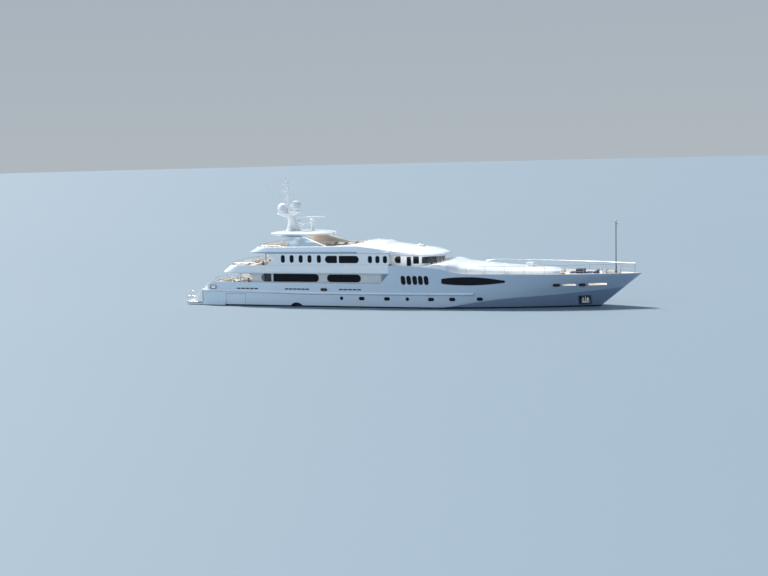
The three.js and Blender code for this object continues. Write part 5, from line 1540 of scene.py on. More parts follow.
# The hardtop in plan, and the heights of its underside and its crown
HARDTOP = {"centre": -12.44, "half": 3.2, "aft": 4.45, "fore": 3.35, "z": 8.3, "top": 8.7}
# The legs' inner and outer face, and where their forward foot ends
ARCH_Y = (4.3, 4.46)
ARCH_FOOT_X = -8.65
# The legs lean in at 45 degrees, and stand at ARCH_Y at this height
LEAN_FROM_Z = 7


def leg_rule(side):
    """A leg's inner face takes the cream lining, its outer face painted shade, and its edges the white
    enamel.
    """
    def rule(centre, normal):
        outward = normal.y * side
        return "inner" if outward < -0.5 else "painted_shade" if outward > 0.5 else "house"
    return rule


def arch_legs():
    """The swept legs that carry the hardtop, leaning in as they rise."""
    low = lambda x: sun_band_top(x) + GAP
    profile = [(-14.07, low(-14.07)), (-13.5, 7.49), (-14.87, 8.3), (-12.18, 8.3),
               (ARCH_FOOT_X, low(ARCH_FOOT_X))]
    lean = Matrix(((1, 0, 0, 0), (0, 1, -1, LEAN_FROM_Z * SCALE), (0, 0, 1, 0), (0, 0, 0, 1)))
    # A white strip along each leg's forward edge: a painted highlight against the legs' painted shade.
    edge = side_prism([(-12.38, 8.29), (-12.2, 8.29), (ARCH_FOOT_X - 0.02, low(ARCH_FOOT_X)),
                       (ARCH_FOOT_X - 0.2, low(-9))], ARCH_Y[1] - 0.01, ARCH_Y[1] + 0.015)
    edge.data.transform(lean)
    piece(both(edge), "arch_edge_highlights", "house")
    for side, label in reversed(SIDES):
        leg = side_prism(profile, *ARCH_Y)
        leg.data.transform(lean)
        leg = bevel(leg, 0.018, 3, 20)
        if side < 0:
            other = mirror_y(leg)
            discard(leg)
            leg = other
        piece(leg, f"arch_{label}", ["house", "inner", "painted_shade"],
              instead=[f"arch_leg_{label}"], rule=leg_rule(side))


def hardtop_ring(z, inset, count=72):
    """The hardtop's outline in plan at a height, drawn in by inset."""
    centre, half, aft, fore = (HARDTOP[k] for k in ("centre", "half", "aft", "fore"))
    ring = []
    for turn in full_turn(count):
        along, across = math.cos(turn), math.sin(turn)
        reach, power = (fore - inset, 0.9) if along > 0 else (aft - inset, 0.62)
        ring.append((centre + reach * signed_power(along, power),
                     (half - inset) * signed_power(across, power), z))
    return ring


def hardtop():
    base = HARDTOP["z"] + GAP
    rings = [(base, 0.12), (8.34, 0.07), (8.4, 0.03), (8.46, 0.01), (8.52, 0), (8.56, 0.06), (8.59, 0.18),
             (8.62, 0.35), (8.66, 0.7), (8.69, 1), (HARDTOP["top"], 1.1)]
    shell = loft([hardtop_ring(z, inset) for z, inset in rings])
    # The underside takes the cream lining, with its painted bounce light.
    underside = lambda centre, normal: "inner" if normal.z < -0.9 else "house"
    piece(shell, "hardtop_shell", ["house", "inner"], instead=["hardtop"], rule=underside)
    dome = lathe([(0.17, -0.35), (0.17, -0.22), (0.27, -0.16), (0.29, -0.04), (0.285, 0.08), (0.24, 0.19),
                  (0.16, 0.255), (0.07, 0.285), (0, 0.29)], (-14.45, -0.85, 8.95), 36)
    piece(dome, "small_dome", "dome")
    lamps = [rod((x, y, base - 0.004), (x, y, base + 0.02), 0.07, 20)
             for x in (-15, -13, -11) for y in (-1.6, 1.6)]
    piece(bundle(*lamps), "hardtop_downlights", "steel")
    hatch = bevel(box(-11.4, -10.4, 0.6, 1.5, HARDTOP["top"] - 0.06, HARDTOP["top"] + 0.02), 0.02, 3)
    piece(hatch, "hardtop_hatch", "grey")


def mast_ring(x0, x1, half, z, count=28):
    """A rounded section, blunt aft and finer forward."""
    middle, reach = (x0 + x1) / 2, (x1 - x0) / 2
    ring = []
    for turn in full_turn(count):
        across = half * math.sin(turn) * (1 - 0.25 * max(0, math.cos(turn)))
        ring.append((middle + reach * signed_power(math.cos(turn), 0.7), across, z))
    return ring


# The mast's sections: height, aft end, forward end, half-breadth
MAST = [(8.7008, -15.35, -13.35, 0.42), (9.4, -15.15, -13.8, 0.36), (10.43, -15.08, -14.2, 0.28),
        (11.3, -15.12, -14.56, 0.18)]
# The arms that carry the domes, seen from the side
MAST_ARMS = [
    [(-14.7, 10.2), (-15.6, 10.44), (-16.35, 10.72), (-16.35, 10.84), (-14.7, 10.84)],
    [(-14.7, 10.5), (-14, 10.72), (-13.4, 10.98), (-13.4, 11.12), (-14.7, 11.12)],
]
# The big domes: x and height of the foot; then their outline, as radius and height, and the circle of bolts
DOMES = {"aft": (-15.73, 10.84), "forward": (-13.97, 11.12)}
DOME_PROFILE = [(0.3, 0.08), (0.52, 0.12), (0.6, 0.3), (0.61, 0.6), (0.56, 0.85), (0.42, 1.06), (0.22, 1.19),
                (0, 1.23)]
BOLT_CIRCLE, BOLTS = 0.27, 8


def mast():
    levels = [float(z) for z in np.linspace(MAST[0][0], MAST[-1][0], 18)]
    trunk = loft([mast_ring(*eased_row(MAST, z), z) for z in levels])
    arms = [bevel(side_prism(outline, -0.3, 0.3), 0.05, 3) for outline in MAST_ARMS]
    # Painted light: the mast takes the brighter white.
    piece(unite(trunk, *arms), "mast_column", "pale", instead=["mast"])
    steps = [rod((x, s * 0.34, z), (x, s * 0.44, z), 0.014, 8)
             for s in (-1, 1) for x, z in ((-14.5, 9), (-14.55, 9.35), (-14.58, 9.7), (-14.6, 10.05))]
    piece(bundle(*steps), "mast_steps", "steel")


def satellite_domes():
    for name, (x, base) in DOMES.items():
        line = curve_through([(r, 0, z) for r, z in DOME_PROFILE], 5)
        profile = [(0.3, 0), (0.3, 0.07), *[(max(p.x, 0), p.z) for p in line]]
        shell = lathe(profile, (x, 0, base + GAP), 56)
        piece(shell, f"{name}_dome", "dome", instead=[f"satellite_dome_{name}"])
        seam = lathe([(0.611, 0.42), (0.617, 0.43), (0.617, 0.45), (0.611, 0.46)], (x, 0, base + GAP), 56)
        places = [(x + BOLT_CIRCLE * math.cos(t), BOLT_CIRCLE * math.sin(t)) for t in full_turn(BOLTS)]
        bolts = [rod((*place, base), (*place, base + 0.03), 0.02, 6) for place in places]
        piece(bundle(seam, *bolts), f"{name}_dome_fixings", "grey")


RADAR = {"x": -11.92, "half": 1.83, "bar_z": 10.3, "top": 10.2}
# The radar's gear box: half-length, half-breadth, height
RADAR_HEAD = [(0.22, 0.17, 9.75), (0.29, 0.22, 9.87), (0.29, 0.22, 10.08), (0.17, 0.15, RADAR["top"])]
# The scanner bar's section, as y and height, and its ends: share of the half-length, share of the section
BAR_SECTION = [(-0.1, 0.02), (-0.1, 0.1), (-0.07, 0.13), (0.02, 0.13), (0.06, 0.09), (0.06, 0.03), (0.03, 0),
               (-0.07, 0)]
BAR_ENDS = [(-1, 0.55), (-0.985, 0.85), (-0.96, 1), (0.96, 1), (0.985, 0.85), (1, 0.55)]
BAR_MIDDLE = 0.065


def radar_stand(x):
    """The post and the housing that the scanner turns on."""
    post = lathe([(0.25, 0), (0.23, 0.03), (0.18, 0.1), (0.17, 1.12), (0.18, 1.16)],
                 (x, 0, HARDTOP["top"] + GAP), 28)
    head = bevel(loft([[(x + a * reach, b * half, z) for a, b in ((-1, -1), (1, -1), (1, 1), (-1, 1))]
                       for reach, half, z in RADAR_HEAD]), 0.035, 3)
    beam = bevel(box(-14.15, x + 0.3, -0.12, 0.12, 9.48, 9.66), 0.03, 3)
    piece(unite(post, head, beam), "radar_stand", "pale", instead=["radar_pedestal"])
    piece(rod((-12.9, 0, 9.54), (-13.6, 0, 9.2), 0.035, 12), "radar_brace", "pale")


def radar():
    x, foot = RADAR["x"], RADAR["bar_z"] + BAR_MIDDLE
    radar_stand(x)
    antenna = loft([[(x + t * RADAR["half"], y * s, foot + (z - BAR_MIDDLE) * s) for y, z in BAR_SECTION]
                    for t, s in BAR_ENDS])
    hub = lathe([(0.12, 0), (0.12, 0.05), (0.1, 0.07), (0.1, 0.13)], (x, 0, RADAR["top"] + GAP), 28)
    piece(unite(antenna, hub), "radar_antenna", "dome", "radar_bar", ["radar_scanner"])


# The pole mast: x of its foot, how far its head rakes aft, and the heights of both
POLE = {"foot": -14.84, "rake": 0.3, "base": 11.3 + GAP, "top": 14.6}


def pole_x(z):
    """Where the raked pole stands at a height."""
    return POLE["foot"] - POLE["rake"] * (z - POLE["base"]) / (POLE["top"] - POLE["base"])


# The pole mast's crosstrees: height, reach; and the heights of its rungs
CROSSTREES = [(12.46, 0.5), (13.44, 0.6), (14.32, 0.45)]
RUNGS = (11.7, 12.1, 12.8, 13.15, 13.8)


def pole_mast():
    """Two raked tubes joined by rungs, with crosstrees that carry the lamps."""
    base, top, x = POLE["base"], POLE["top"], POLE["foot"]
    head = pole_x(top)
    parts = [tube([(x + d, 0, base + 0.02), (head + d * 0.7, 0, top)], 0.062, 12) for d in (-0.14, 0.14)]
    parts.append(bevel(box(x - 0.2, x + 0.2, -0.1, 0.1, base, base + 0.06), 0.012))
    lamps = []
    for z, reach in CROSSTREES:
        at = pole_x(z)
        parts.append(bevel(box(at - reach - 0.1, at + 0.25, -0.05, 0.05, z - 0.045, z + 0.045), 0.012))
        parts.append(bevel(box(at - 0.05, at + 0.05, -reach, reach, z - 0.02, z + 0.02), 0.008))
        for cx, cy in ((at, reach - 0.04), (at, 0.04 - reach), (at - reach, 0), (at + 0.2, 0)):
            lamps.append(lathe([(0.05, 0.025), (0.055, 0.05), (0.055, 0.15), (0.035, 0.18)], (cx, cy, z), 14))
    parts += [rod((pole_x(z) - 0.11, 0, z), (pole_x(z) + 0.11, 0, z), 0.026, 8) for z in RUNGS]
    parts.append(tube([(head - 0.1, 0, 14.3), (head - 0.1, 0, 16.3)], 0.024, 8))
    piece(bundle(*parts), "light_mast", "pale", instead=["pole_mast"])
    lamps.append(lathe([(0.05, 0), (0.06, 0.03), (0.06, 0.12), (0.03, 0.15)], (head + 0.1, 0, top), 14))
    piece(bundle(*lamps), "masthead_lamps", "dome")


def mast_gear():
    """Whip aerials, the wind vane and the horns."""
    low, head = CROSSTREES[0][0], pole_x(POLE["top"])
    whips = [((-15.35, -0.26, 10.45), (-18.79, -0.26, 16.1)), ((-14.05, 0.26, 11.1), (-14.83, 0.26, 13.43)),
             ((pole_x(low), 0.5, low), (pole_x(low), 0.5, 13.6))]
    piece(bundle(*[rod(a, b, 0.02, 8, 0.007) for a, b in whips]), "whip_aerials", "dome")
    wind = [rod((head + 0.2, 0, 14.35), (head + 0.2, 0, 14.62), 0.012, 8),
            rod((head + 0.05, 0, 14.62), (head + 0.34, 0, 14.62), 0.01, 8),
            lathe([(0.001, 0), (0.05, 0.02), (0.05, 0.05), (0.001, 0.07)], (head + 0.3, 0, 14.62), 12)]
    piece(bundle(*wind), "wind_vane", "steel")
    horns = [lathe([(0.03, 0), (0.035, 0.12), (0.06, 0.25), (0.11, 0.34)], (-13.95, y, 9.9), 20, (1, 0, 0.05))
             for y in (-0.16, 0.16)]
    piece(bundle(*horns), "horns", "steel")


def jackstaff():
    x, foot = STAFF_X, on_deck(STAFF_X)
    pole = rod((x, 0, foot), (x, 0, 9.6), 0.06, 18, 0.045)
    socket = lathe([(0.12, 0), (0.12, 0.04), (0.1, 0.06), (0.1, 0.46), (0.07, 0.5)], (x, 0, foot), 22)
    piece(bundle(pole, socket), "jackstaff_pole", "dark", instead=["jackstaff"])
    lamp = lathe([(0.05, 0), (0.08, 0.02), (0.08, 0.14), (0.05, 0.18), (0.02, 0.19)], (x, 0, 9.6), 16)
    side_lamp = bevel(box(x + 0.05, x + 0.2, -0.05, 0.05, 9.28, 9.42), 0.015)
    piece(bundle(lamp, side_lamp), "jackstaff_lamps", "steel")


# Running gear below the water


def foil(chord_root, chord_tip, thick, span, steps=7):
    """A blade with a round nose and a fine tail, from z = 0 down to -span."""
    half = [(0.45, 0), (0.43, 0.35), (0.38, 0.6), (0.3, 0.8), (0.18, 0.95), (0.05, 1), (-0.1, 0.86),
            (-0.25, 0.62), (-0.4, 0.36), (-0.52, 0.14), (-0.55, 0.1)]
    profile = half + [(x, -y) for x, y in reversed(half[1:])]
    rings = []
    for k in range(steps + 1):
        t = k / steps
        chord = chord_root + (chord_tip - chord_root) * t ** 1.4
        depth = thick * (1 - 0.4 * t ** 1.5) * (1 if t < 1 else 0.75)
        rings.append([(x * chord, y * depth / 2, -span * t) for x, y in profile])
    return loft(rings)


def rudder(side, label):
    x, y, top = RUDDER["x"], side * RUDDER["y"], RUDDER["top"]
    blade = foil(RUDDER["chord"], RUDDER["chord"] * 0.72, RUDDER["thick"], top - RUDDER["foot"])
    blade.data.transform(Matrix.Translation(SCALE * Vector((x, y, top))))
    stock = rod((x, y, top - 0.2), (x, y, RUDDER["boss_z"] - GAP), 0.09, 24)
    piece(unite(blade, stock), f"rudder_blade_{label}", "below", f"{label}_rudder",
          [f"rudder_{label}"])


def stabiliser(side, label):
    """A fin on its stub, built upright and then tilted out from the bilge."""
    root, tilt = 0.11, math.atan2(FIN["out"], FIN["down"]) * side
    fin = foil(FIN["chord"], FIN["chord"] * 0.7, 0.2, FIN["span"])
    fin.data.transform(Matrix.Translation((0, 0, -SCALE * root)))
    fin = unite(fin, rod((0, 0, -0.06 - GAP), (0, 0, -root - 0.1), 0.14, 24))
    place = SCALE * Vector((FIN["x"], side * FIN["y"], FIN["z"]))
    fin.data.transform(Matrix.Translation(place) @ Matrix.Rotation(tilt, 4, "X"))
    piece(fin, f"fin_blade_{label}", "below", f"{label}_fin", [f"stabiliser_fin_{label}"])


def steering():
    for side, label in SIDES:
        rudder(side, label)
        stabiliser(side, label)


def blade_ring(r, chord, thick, pitch, skew):
    """One section of a propeller blade, square to its radius."""
    turn = math.radians(pitch)
    c, s = math.cos(turn), math.sin(turn)
    ring = []
    for t in full_turn(14):
        across, along = 0.5 * chord * math.cos(t) + skew, 0.5 * thick * math.sin(t)
        ring.append((along * c - across * s, along * s + across * c, r))
    return ring


# A propeller blade's sections: radius, chord, thickness, pitch in degrees, skew
BLADE_ROWS = [
    (0.1, 0.36, 0.09, 62, 0), (0.25, 0.52, 0.065, 50, 0.01), (0.42, 0.63, 0.045, 39, 0.03),
    (0.58, 0.6, 0.035, 31, 0.06), (0.7, 0.46, 0.026, 27, 0.09), (0.77, 0.28, 0.02, 25, 0.12),
    (0.8, 0.1, 0.012, 24, 0.14),
]
# The hub's radius and place along the shaft
HUB_PROFILE = [(0.001, -0.42), (0.06, -0.4), (0.1, -0.36), (0.14, -0.29), (0.17, -0.2), (0.185, -0.1),
               (0.19, 0), (0.19, 0.26)]
BLADES = 5


def screws():
    """Propellers on their shafts, and the struts that carry them."""
    x0, z0, tilt = SHAFT["prop_x"], SHAFT["prop_z"], math.atan(SHAFT["rise"])
    length = (SHAFT["tube_x"] - x0) * math.hypot(1, SHAFT["rise"]) - GAP
    for side, label in SIDES:
        blades = []
        for turn in full_turn(BLADES):
            blade = loft([blade_ring(r, chord, thick, -side * pitch, -side * skew)
                          for r, chord, thick, pitch, skew in BLADE_ROWS])
            blade.data.transform(Matrix.Rotation(turn, 4, "X"))
            blades.append(blade)
        screw = unite(lathe(HUB_PROFILE, (0, 0, 0), 32, (1, 0, 0)), *blades)
        shaft = rod((0.2, 0, 0), (length, 0, 0), SHAFT["radius"], 24)
        centre = SCALE * Vector((x0, side * SHAFT["y"], z0))
        for obj in (screw, shaft):
            obj.data.transform(Matrix.Translation(centre) @ Matrix.Rotation(-tilt, 4, "Y"))
        piece(screw, f"screw_{label}", "bronze", f"{label}_screw", [f"propeller_{label}"])
        piece(shaft, f"screw_shaft_{label}", "steel", f"{label}_screw")
        strut(side, label)


def strut_section(x, y, z):
    """A flat oval, longer along the ship."""
    return [(x + 0.16 * math.cos(t), y + 0.035 * math.sin(t), z) for t in full_turn(14)]


def strut(side, label):
    """A barrel round the shaft, on two legs that spread up to the hull."""
    x, y = SHAFT["prop_x"] + 0.62, side * SHAFT["y"]
    at = lambda d: (x + d, y, shaft_z(x + d))
    barrel = rod(at(-0.24), at(0.24), 0.17, 32)
    legs = [loft([strut_section(x, y + lean * 0.1, shaft_z(x) + 0.05),
                  strut_section(x, y + lean * 0.62, -0.9)]) for lean in (-1, 1)]
    whole = carve(unite(barrel, *legs), rod(at(-1), at(1), SHAFT["radius"] + CLEAR, 32))
    piece(carve(whole, hull_form(GAP)), f"shaft_bracket_{label}", "bronze",
          instead=[f"shaft_strut_{label}"])


def engines():
    """A plain block in the CAD; here with its heads, feet and gearbox inside the same box."""
    for label in ("starboard", "port"):
        low, high = (Vector(c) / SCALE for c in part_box(f"engine_{label}"))
        width, height = high.y - low.y, high.z - low.z
        middle = (low.y + high.y) / 2
        block = bevel(box(low.x + 0.5, high.x - 0.1, low.y + 0.08, high.y - 0.08,
                          low.z + 0.15, low.z + 0.7 * height), 0.04, 2)
        heads = [bevel(box(low.x + 0.6, high.x - 0.2, y - 0.18, y + 0.18,
                           low.z + 0.6 * height, high.z - 0.04), 0.05, 3)
                 for y in (middle - width * 0.25, middle + width * 0.25)]
        gearbox = bevel(box(low.x + 0.02, low.x + 0.6, middle - 0.35, middle + 0.35,
                            low.z + 0.1, low.z + 0.6 * height), 0.06, 3)
        feet = [box(x - 0.12, x + 0.12, low.y + 0.01, high.y - 0.01, low.z, low.z + 0.18)
                for x in (low.x + 0.7, high.x - 0.4)]
        whole = bundle(block, *heads, gearbox, *feet)
        piece(whole, f"main_engine_{label}", "grey", instead=[f"engine_{label}"])


# Soft goods

# How far cloth swells and how fine its mesh is, in the model's metres; pads start smaller than their boxes
PUFF, VOXEL, PAD_INSET = 0.022, 0.018, 0.03
CLOTH_PRESSURE, CLOTH_FRAMES = 4, 20


def swollen(obj, floor, held=None):
    """Blows a loose body up as sewn cloth, with its underside held flat on what carries it."""
    step = obj.modifiers.new("voxels", "REMESH")
    step.mode, step.voxel_size = "VOXEL", VOXEL
    settle(obj)
    before = [v.co.copy() for v in obj.data.vertices]
    pinned = [v.index for v in obj.data.vertices
              if v.co.z < SCALE * floor + VOXEL / 2 or (held and held(v.co / SCALE))]
    group = obj.vertex_groups.new(name="held")
    group.add(pinned, 1, "REPLACE")
    cloth = obj.modifiers.new("cloth", "CLOTH")
    cloth.settings.vertex_group_mass = "held"
    cloth.settings.use_pressure = True
    cloth.settings.uniform_pressure_force = CLOTH_PRESSURE
    cloth.settings.effector_weights.gravity = 0
    for number in range(1, CLOTH_FRAMES + 1):
        bpy.context.scene.frame_set(number)
    settle(obj)
    moves = [v.co - old for v, old in zip(obj.data.vertices, before)]
    share = min(1, PUFF / max(1e-6, max(m.length for m in moves)))
    for v, old, move in zip(obj.data.vertices, before, moves):
        v.co = old + share * move
    bpy.context.scene.frame_set(1)
    smooth = obj.modifiers.new("smooth", "SUBSURF")
    smooth.levels = smooth.render_levels = 1
    return settle(obj)


def sew(obj, lines, depth=0.014, width=0.02):
    """Draws the cloth in along sewn channels: each is an axis and its place, in real metres."""
    centre = sum((v.co for v in obj.data.vertices), Vector()) / len(obj.data.vertices)
    for v in obj.data.vertices:
        offsets = [(v.co[axis] - SCALE * at) / (SCALE * width) for axis, at in lines]
        near = max((math.exp(-offset ** 2) for offset in offsets), default=0)
        if near > 0.02 and v.co.z > centre.z - 0.5:
            v.co -= SCALE * depth * near * v.normal
    return obj


def pads(name, boxes, material, instead=(), lines=(), held=None):
    """Cushions, each swollen from a slightly smaller box: x, x, y, y, z, z."""
    d = PAD_INSET
    shells = [swollen(box(x0 + d, x1 - d, y0 + d, y1 - d, z0, z1 - d), z0, held)
              for x0, x1, y0, y1, z0, z1 in boxes]
    soft = sew(bundle(*shells), lines)
    piece(soft, name, material, instead=instead, sharp=60)
    return soft


def sofa(name, node, x0, x1, half, deck, seats):
    """Seat and back cushions in a row on a moulded plinth."""
    plinth = unite(box(x0 + 0.04, x1 - 0.02, -half + 0.02, half - 0.02, deck + GAP, deck + 0.26),
                   box(x0, x0 + 0.12, -half, half, deck + GAP, deck + 0.62))
    piece(bevel(plinth, 0.03, 3), f"{name}_plinth", "house", instead=[node])
    rows = [(-half + 2 * half * k / seats, -half + 2 * half * (k + 1) / seats) for k in range(seats)]
    for label, low_x, high_x, top in (("seats", x0 + 0.3, x1, 0.46), ("backs", x0 + 0.122, x0 + 0.36, 0.85)):
        boxes = [(low_x, high_x, a, b, deck + 0.262, deck + top) for a, b in rows]
        pads(f"{name}_{label}", boxes, "cream")


def table(name, node, x, length, width, deck):
    top = [(x + length / 2 * signed_power(math.cos(t), 0.8), width / 2 * signed_power(math.sin(t), 0.8))
           for t in full_turn(60)]
    leaf = bevel(plan_prism(top, deck + 0.7, deck + 0.75), 0.012, 3)
    piece(leaf, f"{name}_top", "teak")
    leg = lathe([(0.3, 0), (0.28, 0.02), (0.12, 0.06), (0.1, 0.12), (0.1, 0.6), (0.18, 0.68), (0.2, 0.6995)],
                (x, 0, deck + GAP), 36)
    piece(leg, f"{name}_pedestal", "steel", instead=[node])


def wicker_chair(deck, x, y, facing, back=0.85):
    """A light armchair: round frame, woven seat and back. Facing is 1 to look forward, -1 aft."""
    at = lambda d, w, z: (x + facing * d, y + w, deck + z)
    arm = [(0.26, FOOT_GAP), (0.25, 0.3), (0.2, 0.58), (-0.1, 0.62), (-0.26, 0.6)]
    hind_leg = [(-0.24, FOOT_GAP), (-0.25, 0.4), (-0.3, back)]
    parts = []
    for w in (-0.27, 0.27):
        parts.append(tube([at(d, w, z) for d, z in arm], 0.018, 8, 4))
        parts.append(tube([at(d, w, z) for d, z in hind_leg], 0.018, 8, 3))
    seat = bevel(box(x - 0.26, x + 0.26, y - 0.25, y + 0.25, deck + 0.36, deck + 0.42), 0.015, 2)
    weave = [(-0.24, 0.42), (-0.21, 0.42), (-0.27, back), (-0.31, back)]
    slope = bevel(loft([[at(d, w, z) for d, z in weave] for w in (-0.25, 0.25)]), 0.012, 2)
    return bundle(seat, slope, *parts)


# Deck, x, y, and 1 to face forward or -1 aft
CHAIRS = [
    (MAIN_DECK_Z, -20.9, -1.35, 1), (MAIN_DECK_Z, -21.6, -1.35, 1), (MAIN_DECK_Z, -20.9, 1.35, 1),
    (MAIN_DECK_Z, -19.45, 0.55, -1), (MAIN_DECK_Z, -19.45, -0.55, -1),
    (BRIDGE_DECK_Z, -16.4, -0.55, -1), (BRIDGE_DECK_Z, -16.4, 0.55, -1),
    (BRIDGE_DECK_Z, -17.8, -1.1, 1), (BRIDGE_DECK_Z, -17.8, 1.1, 1),
]
LOUNGERS = [(x, y) for y in (-3.3, 3.3) for x in (-10.6, -9.3, -8)]


def deck_chairs():
    """Chairs that stand fastened on the two aft decks."""
    piece(bundle(*[wicker_chair(*row) for row in CHAIRS]), "aft_deck_chairs", "dark")


def sun_loungers():
    """Recliners on the sun deck, whose raised backs show above the bulwark."""
    frames, cushions, deck = [], [], SUN_DECK_Z
    back = [(0.3, 0.25), (0.34, 0.25), (0.74, 0.54), (0.7, 0.54)]
    for x, y in LOUNGERS:
        frames.append(bevel(box(x - 0.75, x + 0.35, y - 0.34, y + 0.34, deck + 0.24, deck + 0.28), 0.015))
        frames += [rod((x + dx, y + dy, deck + FOOT_GAP), (x + dx, y + dy, deck + 0.25), 0.02, 10)
                   for dx in (-0.65, 0.3) for dy in (-0.3, 0.3)]
        frames.append(loft([[(x + dx, y + w, deck + z) for dx, z in back] for w in (-0.33, 0.33)]))
        cushions.append((x - 0.75, x + 0.3, y - 0.33, y + 0.33, deck + 0.282, deck + 0.4))
    piece(bundle(*frames), "sun_lounger_frames", "dark")
    pads("sun_lounger_pads", cushions, "cream")


def sun_deck_settee():
    """A moulded settee across the front of the sun deck, with four seats."""
    deck, half = SUN_DECK_Z, 2.4
    settee = [bevel(box(x0, x1, -half, half, deck + FOOT_GAP, deck + top), 0.03, 3)
              for x0, x1, top in ((-6.3, -5.5, 0.3), (-5.5, -5.3, 0.62))]
    piece(bundle(*settee), "sun_deck_settee", "house")
    rows = [(y, y + 1.19) for y in (-2.39, -1.19, 0.01, 1.2)]
    boxes = [(x0, x1, a, b, deck + 0.302, deck + top)
             for x0, x1, top in ((-6.32, -5.78, 0.46), (-5.74, -5.5, 0.78)) for a, b in rows]
    pads("sun_deck_settee_pads", boxes, "cream")


# Foredeck


def foredeck_lounge():
    """Sun pads and a stowed dark box on a low plinth amid the foredeck."""
    floor = deck_height(19.6) + GAP
    plinth = bevel(box(19.22, 22.6, -0.75, 0.75, floor, floor + 0.14), 0.02, 3)
    piece(plinth, "foredeck_plinth", "house", instead=["foredeck_lounge"])
    rows = ((-0.72, 0), (0, 0.72))
    seats = [(x0, x1, a, b, floor + 0.142, floor + 0.3)
             for x0, x1 in ((19.24, 19.92), (21.02, 21.78)) for a, b in rows]
    seats += [(21.88, 22.2, a, b, floor + 0.142, floor + 0.36) for a, b in rows]
    pads("foredeck_seat_pads", seats, "navy", lines=((0, 21.4),))
    pads("foredeck_back_pads", [(22.24, 22.5, a, b, floor + 0.142, floor + 0.58) for a, b in rows], "navy")
    chest = bundle(*[bevel(box(19.97, 20.97, -0.72, 0.72, z0, z1), 0.035, 3)
                     for z0, z1 in ((floor + 0.142, floor + 0.34), (floor + 0.37, floor + 0.6))])
    piece(chest, "foredeck_chest", "navy_shell")
    band_between = box(20.03, 20.91, -0.66, 0.66, floor + 0.335, floor + 0.375)
    piece(band_between, "foredeck_chest_band", "house")


def windlass(x, y, floor):
    """An upright windlass: base, chain wheel and warping drum with its waist."""
    profile = [(0.3, 0), (0.3, 0.05), (0.22, 0.07), (0.22, 0.12), (0.17, 0.15), (0.17, 0.19),
               (0.21, 0.21), (0.18, 0.25), (0.13, 0.32), (0.12, 0.42), (0.16, 0.5), (0.19, 0.53),
               (0.12, 0.56), (0.001, 0.57)]
    return lathe(profile, (x, y, floor), 40)


def bollard(x, y, floor):
    """Twin posts with a cross bar, on one foot."""
    parts = [bevel(box(x - 0.32, x + 0.32, y - 0.12, y + 0.12, floor, floor + 0.04), 0.012)]
    profile = [(0.08, 0.02), (0.07, 0.08), (0.07, 0.25), (0.1, 0.29), (0.1, 0.31), (0.001, 0.33)]
    parts += [lathe(profile, (x + d, y, floor), 24) for d in (-0.19, 0.19)]
    parts.append(rod((x - 0.34, y, floor + 0.17), (x + 0.34, y, floor + 0.17), 0.03, 12))
    return bundle(*parts)


def vent_head(x, y, floor):
    """A mushroom ventilator."""
    profile = [(0.09, 0), (0.09, 0.16), (0.19, 0.17), (0.2, 0.2), (0.15, 0.26), (0.06, 0.29), (0.001, 0.295)]
    return lathe(profile, (x, y, floor), 28)


# Places on the foredeck: x, and y to each side
BOLLARDS = ((12.6, 3.1), (18.1, 2.35), (24.6, 0.95))
VENTS = ((15.2, 2.3), (9.7, 3.6))
HATCHES_X, GLAZED_HATCHES_X = (16.2, 17.6, 25.4), (16.2, 17.6)
WINDLASS_X, STAFF_X = 23.35, 24.4


def on_deck(x):
    return deck_height(x) + FOOT_GAP


def foredeck_gear():
    x = WINDLASS_X
    gear = [windlass(x, y, on_deck(x)) for y in (-0.62, 0.62)]
    gear += [bollard(x, s * y, on_deck(x)) for x, y in BOLLARDS for s in (-1, 1)]
    piece(bundle(*gear), "windlasses_and_bollards", "steel")
    low = on_deck(24)
    chain = [rod((x, y, on_deck(x) + 0.1), (24.1, y * 0.9, low + 0.03), 0.035, 8) for y in (-0.45, 0.45)]
    stoppers = [bevel(box(23.95, 24.2, y - 0.1, y + 0.1, low, low + 0.12), 0.02) for y in (-0.41, 0.41)]
    piece(bundle(*chain, *stoppers), "chains_on_deck", "dark")
    floor = on_deck(23)
    locker = loft([[(x0, -w, z), (x1, -w, z), (x1, w, z), (x0, w, z)]
                   for x0, x1, w, z in ((22.9, 24.3, 0.16, floor), (22.9, 24.3, 0.16, floor + 0.4),
                                        (23, 24.1, 0.1, floor + 0.46))])
    piece(bevel(locker, 0.04, 3), "foredeck_locker", "cream_shell")


def hatches_and_vents():
    hatches = [bevel(box(x - 0.45, x + 0.45, -0.45, 0.45, on_deck(x), on_deck(x) + 0.09), 0.03, 3)
               for x in HATCHES_X]
    piece(bundle(*hatches), "deck_hatches", "house")
    panes = [bevel(box(x - 0.32, x + 0.32, -0.32, 0.32, on_deck(x) + 0.085, on_deck(x) + 0.098), 0.01)
             for x in GLAZED_HATCHES_X]
    piece(bundle(*panes), "hatch_panes", "glass")
    vents = [vent_head(x, s * y, on_deck(x)) for x, y in VENTS for s in (-1, 1)]
    piece(bundle(*vents), "vent_heads", "steel")


def bell():
    """The ship's bell, hung from the jackstaff."""
    x, y, floor = STAFF_X, 0.16, on_deck(STAFF_X)
    cup = lathe([(0.15, 0), (0.14, 0.03), (0.1, 0.08), (0.085, 0.17), (0.05, 0.22), (0.001, 0.235)],
                (x, y, floor + 0.72), 28)
    hook = tube([(x, 0.03, floor + 1), (x, 0.1, floor + 1.04), (x, y, floor + 1), (x, y, floor + 0.94)],
                0.014, 8, 3)
    piece(bundle(cup, hook), "bell", "bronze")


# Wheelhouse fittings


